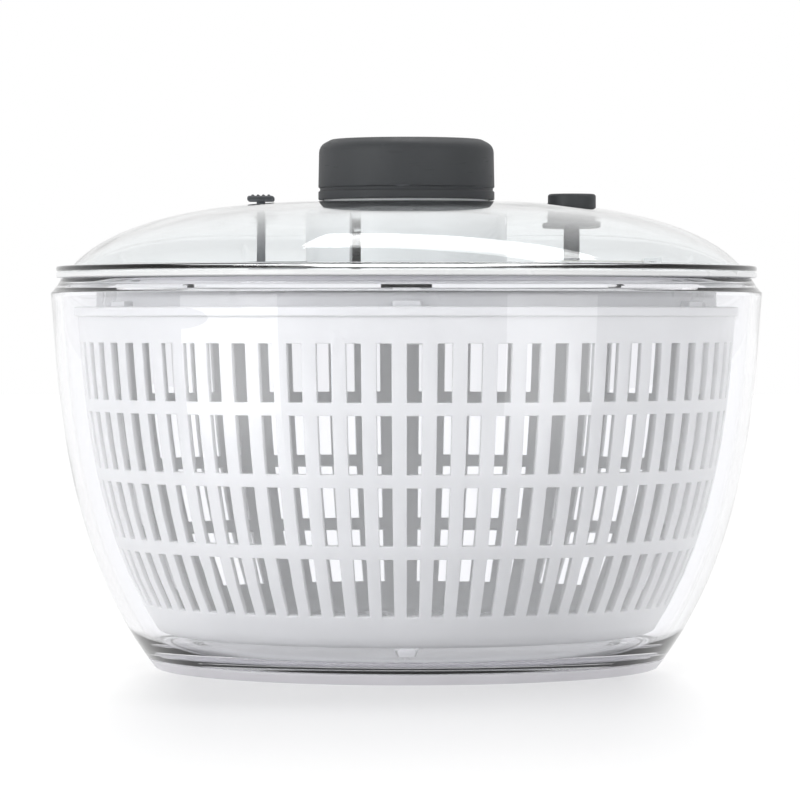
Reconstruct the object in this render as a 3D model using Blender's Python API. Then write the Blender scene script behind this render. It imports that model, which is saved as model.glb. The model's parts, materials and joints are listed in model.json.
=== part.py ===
"""Salad spinner with a press-down drive.

A clear glass bowl carries a slotted basket on a pivot in its floor. The lid holds the drive: pressing the
knob pushes a twisted bar through a nut, the nut's two pawls turn a ratchet drum, and the drum turns the
turntable that grips the basket's rim. A brake button and a knob lock are in the lid too.

All sizes are in millimetres and are turned into metres when a mesh is finished. +Z is up, the origin is at
the centre of the foot, on the table, and +X runs from the knob to the brake button.
"""

import math

import bmesh
import bpy
from mathutils import Matrix, Vector

MM = 0.001
SINK = 0.8  # how far a piece that is joined on runs into its neighbour
GAP = 0.3  # between pieces that touch
WELD = 1e-4

# ---- Driving sizes -------------------------------------------------------------------------------------
RIM_RADIUS = 133.0
BOWL_HEIGHT = 145.0
FOOT_RADIUS = 94.1
GLASS_WALL = 3.9
GLASS_FLOOR = 4.0
BASKET_CLEARANCE = 5.5  # between the glass and the basket
KNOB_RADIUS = 33.0
STROKE = 24.0  # of the knob
SCREW_LEAD = 16.0  # of the twisted bar
BRAKE_TRAVEL = 4.0
LOCK_TRAVEL = 4.0

# ---- Facets --------------------------------------------------------------------------------------------
LARGE_SIDES = 32
MEDIUM_SIDES = 24
SMALL_SIDES = 12
FILLET_STEPS = 2

# ---- Glass bowl ----------------------------------------------------------------------------------------
LIP_HEIGHT = 5.2  # from the ledge to the top
LIP_LEDGE = 0.9
LIP_TOP_INSET = 3.8  # outer edge of the lip's top, in from the rim
LIP_BORE_INSET = 5.4  # bore of the lip, in from the rim
WALL_DRAFT = math.radians(5.9)  # of the wall at the ledge
FOOT_FLARE = math.radians(38.6)  # of the wall at the foot
UPPER_HANDLE = 0.19  # curve handles, as shares of the height
LOWER_HANDLE = 0.42
WALL_STEPS = 8
FOOT_BAND = 3.8  # height of the rubber ring's outer face, which carries on the line of the glass
FOOT_BAND_WIDTH = 4.5  # rubber outside the foot of the glass
FOOT_SOLE = 1.2  # rubber under the glass
FOOT_RING_WIDTH = 10.1
KICK_DEPTH = 1.5  # hollow under the floor
PIVOT_RADIUS = 7.0
PIVOT_HEIGHT = 9.4
PIVOT_PLAY = 0.8  # between the pivot's tip and the basket's crown

# ---- Basket --------------------------------------------------------------------------------------------
BASKET_WALL = 2.0
BASKET_LIFT = 6.0  # basket floor above the glass floor
BASKET_RIM_DROP = 10.5  # basket rim below the bowl's top
BASKET_RIM_WIDTH = 1.5
BASKET_RIM_HEIGHT = 3.5
SLOT_COUNT = 24
SLOT_ANGLE = math.radians(4.5)
TIER_COUNT = 2
TIER_BRIDGE = 5.0  # solid band between two tiers of slots
SOLID_BAND = 14.0  # plain wall under the rim
CORNER_RISE = 12.0  # plain wall above the floor
FLOOR_SLOTS = ((0.20, 0.46), (0.52, 0.86))  # inner and outer ends, as shares of the floor's radius

# ---- Turntable and its grip on the basket --------------------------------------------------------------
TURNTABLE_THICKNESS = 2.0
TURNTABLE_DROP = 6.0  # top of the turntable below the bowl's top
SKIRT_DEPTH = 8.0
GRIP_COUNT = 6
GRIP_LUG_ANGLE = math.radians(5.0)
GRIP_PLAY_ANGLE = math.radians(2.0)
GRIP_KEY_ANGLE = math.radians(2.5)
GRIP_KEY_DEPTH = 3.0
GRIP_LUG_OVERLAP = 1.7  # how far lug and key pass each other
GRIP_RUN = 1.8  # between the turntable's skirt and the keys
GRIP_LUG_DROP = 2.4  # top of the lugs below the turntable's top

# ---- Lid -----------------------------------------------------------------------------------------------
LID_PLATE = 2.0
LID_WALL = 3.0
RUN = 0.6  # side clearance of what slides or swings in the lid
LID_EDGE_INSET = 2.0  # lid's edge, in from the rim
LID_BORE_CLEARANCE = 2.0  # lid's wall inside the lip
PLATE_DROP = 1.6  # top of the lid plate below the bowl's top
GASKET_WIDTH = 2.8
GASKET_HEIGHT = 2.0
GASKET_SQUEEZE_GAP = 0.4  # between the gasket and the lip's bore
COVER_WALL = 2.0
COVER_RUN_IN = 0.8  # gap between the knob and the cover's opening
COVER_LIP = 6.0  # flat ring round the cover's opening
COVER_EDGE = 6.0  # flat edge of the cover
COVER_SHOULDER = (11.0, 13.2)  # run and rise of the curve's lower handle
COVER_CROWN = 44.0  # length of the curve's upper handle

# ---- Drive ---------------------------------------------------------------------------------------------
BAR_WIDTH = 6.4
BAR_THICKNESS = 2.2
BAR_PLAY = 0.45
BAR_TWIST_STEP = math.radians(30)
SHANK_RADIUS = 3.2
SHANK_PLAY = 0.7
BORE_RADIUS = 5.2  # hole for the bar through the drum and the turntable
STEM_RADIUS = 9.6
BUSH_WALL = 2.5
BUSH_RUN = 0.4
BUSH_FLANGE = 4.0
BUSH_FLANGE_THICKNESS = 1.9
DRUM_FLOOR = 2.0
DRUM_WALL = 2.6  # outside the teeth's roots
TOOTH_COUNT = 12
TOOTH_DEPTH = 1.7
TOOTH_LEAD = math.radians(8.27)  # from a pawl's tip at rest to the steep face ahead of it
WASHER_THICKNESS = 0.5
NUT_PLATE = 1.8
NUT_RUN = 0.9  # between the nut and the teeth
NUT_HUB_RADIUS = 5.6
NUT_STEP = 0.8  # edge of the nut's top plate, in from its bottom plate
PAWL_SPACE = 3.7
SLOT_LENGTH = 3.8  # twisted slot in the nut
PAWL_INSET = 4.1  # pawl's pin, in from the teeth's tips
PAWL_TIP = (1.75, 6.4)  # from the pin, at rest
PAWL_PIN_RADIUS = 1.0
PAWL_PIN_PLAY = 0.3
HOUSING_RUN = 1.6
HOUSING_WALL = 2.2
HOUSING_FLANGE = 5.2
HOUSING_FLANGE_THICKNESS = 2.0
HOUSING_SCREW_RADIUS = 1.2
HOUSING_SPIGOT = 1.4  # depth of the cap inside the housing
DRUM_SCREW_RADIUS = 0.9
DRUM_SCREW_ORBIT = 7.4
CAP_HOLE_RADIUS = 6.0
CAP_PLATE = 2.0
SCREWS = 3

# ---- Knob ----------------------------------------------------------------------------------------------
KNOB_SKIN = 1.9
CORE_WALL = 1.8
CORE_CEILING = 2.2
FLANGE_THICKNESS = 2.5
FLANGE_OVERHANG = 2.2  # past the knob, so that the cover stops it
FLANGE_REST_GAP = 1.1  # above the plate, with the knob down
LOCK_GROOVE = 3.5
CEILING_REST_GAP = 2.2  # above the housing, with the knob down
KNOB_CROWN = 5.0
RIB_WIDTH = 4.0
RIB_DEPTH = 2.0
COLLAR_WALL = 2.0
SPRING_WIRE = 1.6
SPRING_TURNS = 6
SPRING_GAP = 0.4
SPRING_CENTRING = 1.2  # between the spring and the housing's flange inside it
CAP_BOSS = 2.6  # hollow over the screw's head in the knob
HEAD_RADIUS = 4.5
HEAD_THICKNESS = 3.0
KNOB_SCREW_RADIUS = 1.2
KNOB_SCREW_LENGTH = 8.4

# ---- Brake ---------------------------------------------------------------------------------------------
BUTTON_X = 62.0
BUTTON_RADIUS = 9.0
BUTTON_PROUD = 4.6
BUTTON_STEM = 3.0
BUTTON_FLANGE = 2.0  # flange that stops the button under the cover, and its thickness
LEVER_LENGTH = 30.0  # button to pivot pin
PAD_ARM = 12.0  # pad to pivot pin
LEVER_WIDTH = 7.0
LEVER_THICKNESS = 3.4
PIN_RADIUS = 1.2
PIN_RISE = 8.4  # pin above the lid plate
POST_THICKNESS = 2.6
POST_HALF = 3.4  # half the length of a post
POST_RISE = 3.2  # top of the posts above the pin
PAD_LENGTH = 6.0
PAD_WIDTH = 11.0
PAD_THICKNESS = 2.6
PAD_RUN = 0.25  # above the turntable, with the brake on
BRAKE_WIRE = 0.5
BRAKE_COIL_RADIUS = 2.6
BRAKE_TURNS = 3

# ---- Knob lock -----------------------------------------------------------------------------------------
LOCK_WIDTH = 10.0
LOCK_REACH = 0.6  # tongue's tip behind the collar's bore, unlocked
TONGUE_THICKNESS = 2.0
TONGUE_RUN = 0.6  # tongue above the knob's flange, with the knob down
LOCK_BLOCK = 17.0
LOCK_WEB = 3.0
TAB_LENGTH = 10.0
TAB_THICKNESS = 2.6
TAB_RUN = 1.2  # tab above the cover
LOCK_SETBACK = 4.2  # lock's block from the collar, with the lock on
WEB_INSET = 3.0  # web from the back of the lock's block
RAIL_WIDTH = 2.0
RAIL_HEIGHT = 5.0

# ---- Heights, from the foot up -------------------------------------------------------------------------
LEDGE_Z = BOWL_HEIGHT - LIP_HEIGHT
GLASS_BOTTOM = FOOT_SOLE + GAP
FLOOR_Z = GLASS_BOTTOM + KICK_DEPTH + GLASS_FLOOR
PIVOT_TOP = FLOOR_Z + PIVOT_HEIGHT
BASKET_BOTTOM = FLOOR_Z + BASKET_LIFT
BASKET_TOP = BOWL_HEIGHT - BASKET_RIM_DROP
TURNTABLE_TOP = BOWL_HEIGHT - TURNTABLE_DROP
TURNTABLE_BOTTOM = TURNTABLE_TOP - TURNTABLE_THICKNESS
PLATE_TOP = BOWL_HEIGHT - PLATE_DROP
PLATE_BOTTOM = PLATE_TOP - LID_PLATE
LID_FLANGE_BOTTOM = BOWL_HEIGHT + GAP
LID_FLANGE_TOP = LID_FLANGE_BOTTOM + LID_PLATE
BUSH_TOP = PLATE_TOP + GAP + BUSH_FLANGE_THICKNESS
DRUM_BOTTOM = BUSH_TOP + BUSH_RUN
DRUM_FLOOR_TOP = DRUM_BOTTOM + DRUM_FLOOR
WASHER_TOP = DRUM_FLOOR_TOP + GAP + WASHER_THICKNESS
NUT_BOTTOM = WASHER_TOP + GAP
PAWL_FLOOR = NUT_BOTTOM + NUT_PLATE
PAWL_CEILING = PAWL_FLOOR + PAWL_SPACE
NUT_TOP = PAWL_CEILING + NUT_PLATE
DRUM_TOP = NUT_TOP + 0.8
HOUSING_BOTTOM = PLATE_TOP + GAP
HOUSING_TOP = DRUM_TOP + 4.0
CAP_TOP = HOUSING_TOP + GAP + CAP_PLATE
FLANGE_BOTTOM = PLATE_TOP + FLANGE_REST_GAP + STROKE
FLANGE_TOP = FLANGE_BOTTOM + FLANGE_THICKNESS
COVER_LIP_BOTTOM = FLANGE_TOP + 0.4
COVER_TOP = COVER_LIP_BOTTOM + COVER_WALL
KNOB_BOTTOM = FLANGE_TOP + LOCK_GROOVE
CEILING_Z = CAP_TOP + CEILING_REST_GAP + STROKE
CORE_TOP = CEILING_Z + CORE_CEILING
KNOB_TOP = CORE_TOP + GAP + KNOB_CROWN
HEAD_TOP = CEILING_Z - GAP
HEAD_BOTTOM = HEAD_TOP - HEAD_THICKNESS
SLOT_TOP = NUT_BOTTOM + SLOT_LENGTH
SHANK_BOTTOM = SLOT_TOP + 1.1 + STROKE
BAR_BOTTOM = NUT_BOTTOM - 1.6
WELL_FLOOR = BAR_BOTTOM - STROKE - 1.0

# ---- Radii ---------------------------------------------------------------------------------------------
LIP_BORE = RIM_RADIUS - LIP_BORE_INSET
LIP_TOP_RADIUS = RIM_RADIUS - LIP_TOP_INSET
LID_RADIUS = RIM_RADIUS - LID_EDGE_INSET
LID_WALL_RADIUS = LIP_BORE - LID_BORE_CLEARANCE
GASKET_RADIUS = LIP_BORE - GASKET_SQUEEZE_GAP
FOOT_SEAT = FOOT_RADIUS - FOOT_BAND_WIDTH
FOOT_RING_INNER = FOOT_RADIUS - FOOT_RING_WIDTH
OPENING_RADIUS = KNOB_RADIUS + COVER_RUN_IN
FLANGE_RADIUS = KNOB_RADIUS + FLANGE_OVERHANG
COLLAR_BORE = FLANGE_RADIUS + 0.6
COLLAR_RADIUS = COLLAR_BORE + COLLAR_WALL
CORE_RADIUS = KNOB_RADIUS - KNOB_SKIN - GAP
CORE_BORE = CORE_RADIUS - CORE_WALL
SPRING_RADIUS = CORE_BORE - SPRING_GAP - SPRING_WIRE / 2
HOUSING_FLANGE_RADIUS = SPRING_RADIUS - SPRING_WIRE / 2 - SPRING_CENTRING
HOUSING_RADIUS = HOUSING_FLANGE_RADIUS - HOUSING_FLANGE
HOUSING_SCREW_ORBIT = (HOUSING_RADIUS + HOUSING_FLANGE_RADIUS) / 2
HOUSING_BORE = HOUSING_RADIUS - HOUSING_WALL
DRUM_RADIUS = HOUSING_BORE - HOUSING_RUN
TOOTH_ROOT = DRUM_RADIUS - DRUM_WALL
TOOTH_TIP = TOOTH_ROOT - TOOTH_DEPTH
NUT_RADIUS = TOOTH_TIP - NUT_RUN
PAWL_ORBIT = TOOTH_TIP - PAWL_INSET
TOOTH_PHASE = math.atan2(PAWL_TIP[1], PAWL_ORBIT + PAWL_TIP[0]) + TOOTH_LEAD
BUSH_BORE = STEM_RADIUS + BUSH_RUN
BUSH_RADIUS = BUSH_BORE + BUSH_WALL
BUSH_SEAT = BUSH_RADIUS + GAP
PIVOT_X = BUTTON_X + LEVER_LENGTH
PAD_X = PIVOT_X - PAD_ARM
PIN_Z = PLATE_TOP + PIN_RISE
PAD_DROP = (PAD_ARM + PAD_LENGTH / 2) * BRAKE_TRAVEL / LEVER_LENGTH
PAD_TOP = TURNTABLE_TOP + PAD_RUN + PAD_DROP + PAD_THICKNESS


# ---- Profiles ------------------------------------------------------------------------------------------
def bezier(start, handle_a, handle_b, end, steps):
    """Points of a cubic curve, both ends included."""
    points = []
    for step in range(steps + 1):
        t = step / steps
        a, b, c, d = (1 - t) ** 3, 3 * (1 - t) ** 2 * t, 3 * (1 - t) * t**2, t**3
        points.append(
            (
                a * start[0] + b * handle_a[0] + c * handle_b[0] + d * end[0],
                a * start[1] + b * handle_a[1] + c * handle_b[1] + d * end[1],
            )
        )
    return points


def offset(curve, distance):
    """The curve moved sideways, to its right when walked from first to last."""
    moved = []
    for index, (r, z) in enumerate(curve):
        before = curve[max(index - 1, 0)]
        after = curve[min(index + 1, len(curve) - 1)]
        along = Vector((after[0] - before[0], after[1] - before[1])).normalized()
        moved.append((r + along.y * distance, z - along.x * distance))
    return moved


def radius_at(curve, height):
    """Radius of a curve that falls from first to last, at a height."""
    for (r_high, z_high), (r_low, z_low) in zip(curve, curve[1:]):
        if z_low <= height <= z_high:
            share = (height - z_low) / (z_high - z_low)
            return r_low + (r_high - r_low) * share
    nearest = min(curve, key=lambda point: abs(point[1] - height))
    return nearest[0]


def rounded(corners, closed):
    """Corners (r, z) or (r, z, fillet) as a profile with its fillets drawn in."""
    profile = []
    count = len(corners)
    for index, corner in enumerate(corners):
        here = Vector(corner[:2])
        at_end = index in (0, count - 1) and not closed
        if len(corner) == 2 or at_end:
            profile.append(tuple(here))
            continue
        before = Vector(corners[index - 1][:2]) - here
        after = Vector(corners[(index + 1) % count][:2]) - here
        reach = corner[2] / math.tan(before.angle(after) / 2)
        reach = min(reach, 0.45 * before.length, 0.45 * after.length)
        first, last = here + before.normalized() * reach, here + after.normalized() * reach
        for step in range(FILLET_STEPS + 1):
            t = step / FILLET_STEPS
            profile.append(tuple(first * (1 - t) ** 2 + here * 2 * t * (1 - t) + last * t**2))
    return profile


# ---- Mesh helpers --------------------------------------------------------------------------------------
def revolve(mesh, corners, sides):
    """Spins a profile about the Z axis. A profile that starts and ends on the axis stays open there."""
    closed = corners[0][0] > 0 or corners[-1][0] > 0
    profile = rounded(corners, closed)
    points = [mesh.verts.new((r, 0, z)) for r, z in profile]
    edges = [mesh.edges.new(pair) for pair in zip(points, points[1:])]
    if closed:
        edges.append(mesh.edges.new((points[-1], points[0])))
    bmesh.ops.spin(
        mesh,
        geom=points + edges,
        cent=(0, 0, 0),
        axis=(0, 0, 1),
        angle=2 * math.pi,
        steps=sides,
        use_merge=True,
    )
    bmesh.ops.remove_doubles(mesh, verts=mesh.verts, dist=WELD)


def block(mesh, low, high, turn=0.0):
    """A box between two corners, then turned about the Z axis."""
    size = [b - a for a, b in zip(low, high)]
    middle = [(a + b) / 2 for a, b in zip(low, high)]
    place = Matrix.Rotation(turn, 4, "Z") @ Matrix.Translation(middle)
    bmesh.ops.create_cube(mesh, size=1, matrix=place @ Matrix.Diagonal((*size, 1)))


def sector(mesh, inner, outer, centre, width, bottom, top):
    """A block with round faces that spans an angle about the Z axis."""
    rings = []
    for z in (bottom, top):
        corners = ((inner, -0.5), (outer, -0.5), (outer, 0.5), (inner, 0.5))
        ring = []
        for r, side in corners:
            angle = centre + side * width
            ring.append(mesh.verts.new((r * math.cos(angle), r * math.sin(angle), z)))
        rings.append(ring)
    skin(mesh, rings)


def rod(mesh, radius, start, end, sides=SMALL_SIDES):
    """A cylinder between two points."""
    start, end = Vector(start), Vector(end)
    along = end - start
    turn = along.to_track_quat("Z", "Y").to_matrix().to_4x4()
    bmesh.ops.create_cone(
        mesh,
        cap_ends=True,
        segments=sides,
        radius1=radius,
        radius2=radius,
        depth=along.length,
        matrix=Matrix.Translation((start + end) / 2) @ turn,
    )


def skin(mesh, rings):
    """Closes a stack of equal rings of vertices into one body."""
    for low, high in zip(rings, rings[1:]):
        for index in range(len(low)):
            after = (index + 1) % len(low)
            mesh.faces.new((low[index], low[after], high[after], high[index]))
    mesh.faces.new(rings[0][::-1])
    mesh.faces.new(rings[-1])


def prism(mesh, outline, bottom, top, centre=(0.0, 0.0), turn=0.0):
    """An outline in plan, made a solid between two heights."""
    rings = []
    for z in (bottom, top):
        ring = []
        for x, y in outline:
            at = Vector((x, y, 0)) + Vector((*centre, 0))
            at.rotate(Matrix.Rotation(turn, 3, "Z"))
            ring.append(mesh.verts.new((at.x, at.y, z)))
        rings.append(ring)
    skin(mesh, rings)


def twisted_bar(mesh, width, thickness, bottom, top):
    """A flat bar wound to the drive's lead. Its phase depends only on height, so bar and slot agree."""
    step = SCREW_LEAD * BAR_TWIST_STEP / (2 * math.pi)
    first, last = math.floor(bottom / step), math.ceil(top / step)
    heights = [bottom] + [n * step for n in range(first + 1, last)] + [top]
    across = [width * share for share in (-0.5, -1 / 6, 1 / 6, 0.5)]
    outline = [(x, -thickness / 2) for x in across] + [(x, thickness / 2) for x in reversed(across)]
    rings = []
    for z in heights:
        angle = 2 * math.pi * z / SCREW_LEAD
        c, s = math.cos(angle), math.sin(angle)
        rings.append([mesh.verts.new((x * c - y * s, x * s + y * c, z)) for x, y in outline])
    skin(mesh, rings)


def coil(mesh, centre, radius, wire, bottom, top, turns, sides):
    """A helical spring of round wire."""
    steps = turns * sides
    place = Matrix.Translation((centre[0] + radius, centre[1], bottom + wire / 2))
    place = place @ Matrix.Rotation(math.pi / 2, 4, "X")
    ring = bmesh.ops.create_circle(mesh, segments=6, radius=wire / 2, matrix=place)["verts"]
    edges = list({edge for vert in ring for edge in vert.link_edges})
    bmesh.ops.spin(
        mesh,
        geom=ring + edges,
        cent=(*centre, 0),
        axis=(0, 0, 1),
        dvec=(0, 0, (top - bottom - wire) / steps),
        angle=2 * math.pi * turns,
        steps=steps,
    )
    bmesh.ops.holes_fill(mesh, edges=mesh.edges, sides=8)


# ---- Objects -------------------------------------------------------------------------------------------
def clear_scene():
    for item in list(bpy.data.objects):
        bpy.data.objects.remove(item, do_unlink=True)


def finish(name, colour, roughness, metallic=0.0, transmission=0.0):
    material = bpy.data.materials.new(name)
    material.use_nodes = True
    shader = material.node_tree.nodes["Principled BSDF"]
    shader.inputs["Base Color"].default_value = (*colour, 1)
    shader.inputs["Roughness"].default_value = roughness
    shader.inputs["Metallic"].default_value = metallic
    shader.inputs["Transmission Weight"].default_value = transmission
    return material


def group(name, at, parent=None):
    """An empty on a joint's axis. Its pieces are children of it."""
    empty = bpy.data.objects.new(name, None)
    bpy.context.scene.collection.objects.link(empty)
    empty.parent = parent
    above = Vector(parent["at_mm"]) if parent else Vector((0, 0, 0))
    empty.location = (Vector(at) - above) * MM
    empty["at_mm"] = list(at)
    return empty


def solid(name, mesh, material, parent):
    """A finished object, from a mesh drawn in millimetres at its place in the spinner."""
    bmesh.ops.translate(mesh, vec=-Vector(parent["at_mm"]), verts=mesh.verts)
    bmesh.ops.scale(mesh, vec=(MM, MM, MM), verts=mesh.verts)
    bmesh.ops.recalc_face_normals(mesh, faces=mesh.faces)
    data = bpy.data.meshes.new(name)
    mesh.to_mesh(data)
    mesh.free()
    data.shade_smooth()
    data.set_sharp_from_angle(angle=math.radians(35))
    if material:
        data.materials.append(material)
    item = bpy.data.objects.new(name, data)
    bpy.context.scene.collection.objects.link(item)
    item.parent = parent
    return item


def turned(name, corners, material, parent, sides=MEDIUM_SIDES):
    mesh = bmesh.new()
    revolve(mesh, corners, sides)
    return solid(name, mesh, material, parent)


def repeat(name, mesh, places, material, parent):
    """Copies of one piece that share its mesh, each an object of its own at its place in plan."""
    first = solid(f"{name}_1", mesh, material, parent)
    for number, (x, y) in enumerate(places, 1):
        item = first if number == 1 else first.copy()
        item.name = f"{name}_{number}"
        item.location = (x * MM, y * MM, 0)
        if item is not first:
            bpy.context.scene.collection.objects.link(item)


def combine(target, tool_mesh, operation):
    """Joins to the target, or cuts from it, every shape in the tool's mesh."""
    tool = solid(f"{target.name}_{operation.lower()}_tool", tool_mesh, None, target.parent)
    tool.hide_render = True
    tool.display_type = "WIRE"
    step = target.modifiers.new(tool.name, "BOOLEAN")
    step.operation = operation
    step.object = tool
    step.solver = "EXACT"


# ---- Glass bowl ----------------------------------------------------------------------------------------
def glass_wall():
    """The bowl's outer line, from the ledge under the lip down to the table."""
    height = LEDGE_Z
    upper, lower = UPPER_HANDLE * height, LOWER_HANDLE * height
    start, end = (RIM_RADIUS, LEDGE_Z), (FOOT_RADIUS, 0)
    return bezier(
        start,
        (start[0] - upper * math.sin(WALL_DRAFT), start[1] - upper * math.cos(WALL_DRAFT)),
        (end[0] + lower * math.sin(FOOT_FLARE), end[1] + lower * math.cos(FOOT_FLARE)),
        end,
        WALL_STEPS,
    )


def make_bowl(material, parent):
    wall = glass_wall()
    inside = [point for point in offset(wall, GLASS_WALL) if point[1] > FLOOR_Z + 4.0]
    floor_edge = radius_at(offset(wall, GLASS_WALL), FLOOR_Z) - 1.0
    band_top = FOOT_BAND + GAP
    kick = GLASS_BOTTOM + KICK_DEPTH
    neck = BOWL_HEIGHT - LIP_HEIGHT * 0.55
    corners = [
        (0, PIVOT_TOP),
        (0.28 * PIVOT_RADIUS, PIVOT_TOP - 0.3),
        (0.46 * PIVOT_RADIUS, PIVOT_TOP - 1.6),
        (0.7 * PIVOT_RADIUS, FLOOR_Z + 0.3 * PIVOT_HEIGHT),
        (PIVOT_RADIUS, FLOOR_Z),
        (floor_edge, FLOOR_Z, 5.0),
        *reversed(inside),
        (LIP_BORE, neck),
        (LIP_BORE, BOWL_HEIGHT, 0.8),
        (LIP_TOP_RADIUS, BOWL_HEIGHT, 0.8),
        (RIM_RADIUS - 0.55 * LIP_TOP_INSET, neck),
        (RIM_RADIUS - LIP_LEDGE, LEDGE_Z + 0.2),
        *[point for point in wall if point[1] > band_top + 1.0],
        (radius_at(wall, band_top), band_top),
        (FOOT_SEAT, band_top),
        (FOOT_SEAT, GLASS_BOTTOM),
        (FOOT_RING_INNER - 3.0, GLASS_BOTTOM),
        (FOOT_RING_INNER - 7.0, kick),
        (0, kick),
    ]
    return turned("bowl", corners, material, parent, LARGE_SIDES)


def make_foot_ring(material, parent):
    wall = glass_wall()
    corners = [
        wall[-1],
        (radius_at(wall, FOOT_BAND), FOOT_BAND),
        (FOOT_SEAT + GAP, FOOT_BAND),
        (FOOT_SEAT + GAP, FOOT_SOLE),
        (FOOT_RING_INNER, FOOT_SOLE),
        (FOOT_RING_INNER, 0),
    ]
    return turned("non_slip_ring", corners, material, parent, LARGE_SIDES)


# ---- Basket --------------------------------------------------------------------------------------------
def basket_wall():
    """The basket's outer wall, from its rim down to its floor."""
    return offset(glass_wall(), GLASS_WALL + BASKET_CLEARANCE)


def basket_sections():
    """Pairs (outside, inside) from the axis out and up to the rim, and the rows that hold slots."""
    wall = basket_wall()
    floor, top = BASKET_BOTTOM, BASKET_BOTTOM + BASKET_WALL
    floor_radius = radius_at(wall, floor) - 4.0
    sections = [
        ((0, PIVOT_TOP + PIVOT_PLAY), (0, PIVOT_TOP + PIVOT_PLAY + BASKET_WALL)),
        ((0.70 * PIVOT_RADIUS, PIVOT_TOP + 0.2), (0.60 * PIVOT_RADIUS, PIVOT_TOP + 0.2 + BASKET_WALL)),
        ((1.15 * PIVOT_RADIUS, floor), (1.3 * PIVOT_RADIUS, top)),
    ]
    slot_rows = []
    for inner, outer in FLOOR_SLOTS:
        slot_rows.append(len(sections))
        for share in (inner, outer):
            sections.append(((share * floor_radius, floor), (share * floor_radius, top)))
    sections.append(((floor_radius, floor + 0.4), (floor_radius - 0.8, top + 0.4)))
    first = floor + CORNER_RISE
    last = BASKET_TOP - SOLID_BAND
    tier = (last - first - (TIER_COUNT - 1) * TIER_BRIDGE) / TIER_COUNT
    heights = [floor + 0.35 * CORNER_RISE]
    for index in range(TIER_COUNT):
        start = first + index * (tier + TIER_BRIDGE)
        slot_rows.append(len(sections) + len(heights))
        heights += [start, start + tier]
    rim_bottom = BASKET_TOP - BASKET_RIM_HEIGHT
    heights.append(rim_bottom)
    inner_wall = offset(wall, BASKET_WALL)
    for z in heights:
        sections.append(((radius_at(wall, z), z), (radius_at(inner_wall, z), z)))
    (rim_out, _), (rim_in, _) = sections[-1]
    sections.append(((rim_out + BASKET_RIM_WIDTH, rim_bottom), (rim_in, rim_bottom + 0.5)))
    sections.append(((rim_out + BASKET_RIM_WIDTH, BASKET_TOP), (rim_in, BASKET_TOP)))
    return sections, set(slot_rows), rim_in


def make_basket(material, parent):
    sections, slot_rows, rim_bore = basket_sections()
    pitch = 2 * math.pi / SLOT_COUNT
    angles = [k * pitch + side * SLOT_ANGLE / 2 for k in range(SLOT_COUNT) for side in (-1, 1)]
    mesh = bmesh.new()

    def ring(r, z):
        if r == 0:
            return [mesh.verts.new((0, 0, z))] * len(angles)
        return [mesh.verts.new((r * math.cos(a), r * math.sin(a), z)) for a in angles]

    outside = [ring(*pair[0]) for pair in sections]
    inside = [ring(*pair[1]) for pair in sections]
    columns = len(angles)

    def is_open(row, column):
        return row in slot_rows and column % 2 == 0

    def face(*corners):
        mesh.faces.new(list(dict.fromkeys(corners)))

    for row in range(len(sections) - 1):
        for column in range(columns):
            after = (column + 1) % columns
            corners = [(row, column), (row, after), (row + 1, after), (row + 1, column)]
            if not is_open(row, column):
                face(*[outside[i][j] for i, j in corners])
                face(*[inside[i][j] for i, j in reversed(corners)])
                continue
            for (i, j), (m, n) in zip(corners, corners[1:] + corners[:1]):
                face(outside[i][j], outside[m][n], inside[m][n], inside[i][j])
    for column in range(columns):
        after = (column + 1) % columns
        face(outside[-1][column], outside[-1][after], inside[-1][after], inside[-1][column])
    basket = solid("basket", mesh, material, parent)
    keys = bmesh.new()
    beside = GRIP_LUG_ANGLE / 2 + GRIP_PLAY_ANGLE + GRIP_KEY_ANGLE / 2
    for index in range(GRIP_COUNT):
        for side in (-1, 1):
            centre = (index + 0.5) * 2 * math.pi / GRIP_COUNT + side * beside
            low, high = BASKET_TOP - SKIRT_DEPTH, BASKET_TOP - 0.6
            sector(keys, rim_bore - GRIP_KEY_DEPTH, rim_bore + 0.8, centre, GRIP_KEY_ANGLE, low, high)
    combine(basket, keys, "UNION")
    return basket


# ---- Turntable -----------------------------------------------------------------------------------------
def grip_radii():
    """Outer radius of the turntable's skirt, and of the lugs on it."""
    key_bore = basket_sections()[2] - GRIP_KEY_DEPTH
    return key_bore - GRIP_RUN, key_bore + GRIP_LUG_OVERLAP


def screw_places(orbit, phase=0.0):
    angles = [phase + 2 * math.pi * k / SCREWS for k in range(SCREWS)]
    return [(orbit * math.cos(a), orbit * math.sin(a)) for a in angles]


def make_turntable(material, parent):
    skirt, lug = grip_radii()
    skirt_bottom = TURNTABLE_BOTTOM - SKIRT_DEPTH
    corners = [
        (BORE_RADIUS, TURNTABLE_TOP),
        (skirt, TURNTABLE_TOP, 1.6),
        (skirt, skirt_bottom),
        (skirt - TURNTABLE_THICKNESS, skirt_bottom),
        (skirt - TURNTABLE_THICKNESS, TURNTABLE_BOTTOM, 1.0),
        (BORE_RADIUS, TURNTABLE_BOTTOM),
    ]
    turntable = turned("turntable", corners, material, parent, LARGE_SIDES)
    lugs = bmesh.new()
    for index in range(GRIP_COUNT):
        centre = (index + 0.5) * 2 * math.pi / GRIP_COUNT
        top = TURNTABLE_TOP - GRIP_LUG_DROP
        sector(lugs, skirt - 1.0, lug, centre, GRIP_LUG_ANGLE, skirt_bottom + 1.0, top)
    combine(turntable, lugs, "UNION")
    holes = bmesh.new()
    for x, y in screw_places(DRUM_SCREW_ORBIT):
        rod(holes, DRUM_SCREW_RADIUS + GAP, (x, y, TURNTABLE_BOTTOM - 1), (x, y, TURNTABLE_TOP + 1))
    combine(turntable, holes, "DIFFERENCE")
    return turntable


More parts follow.
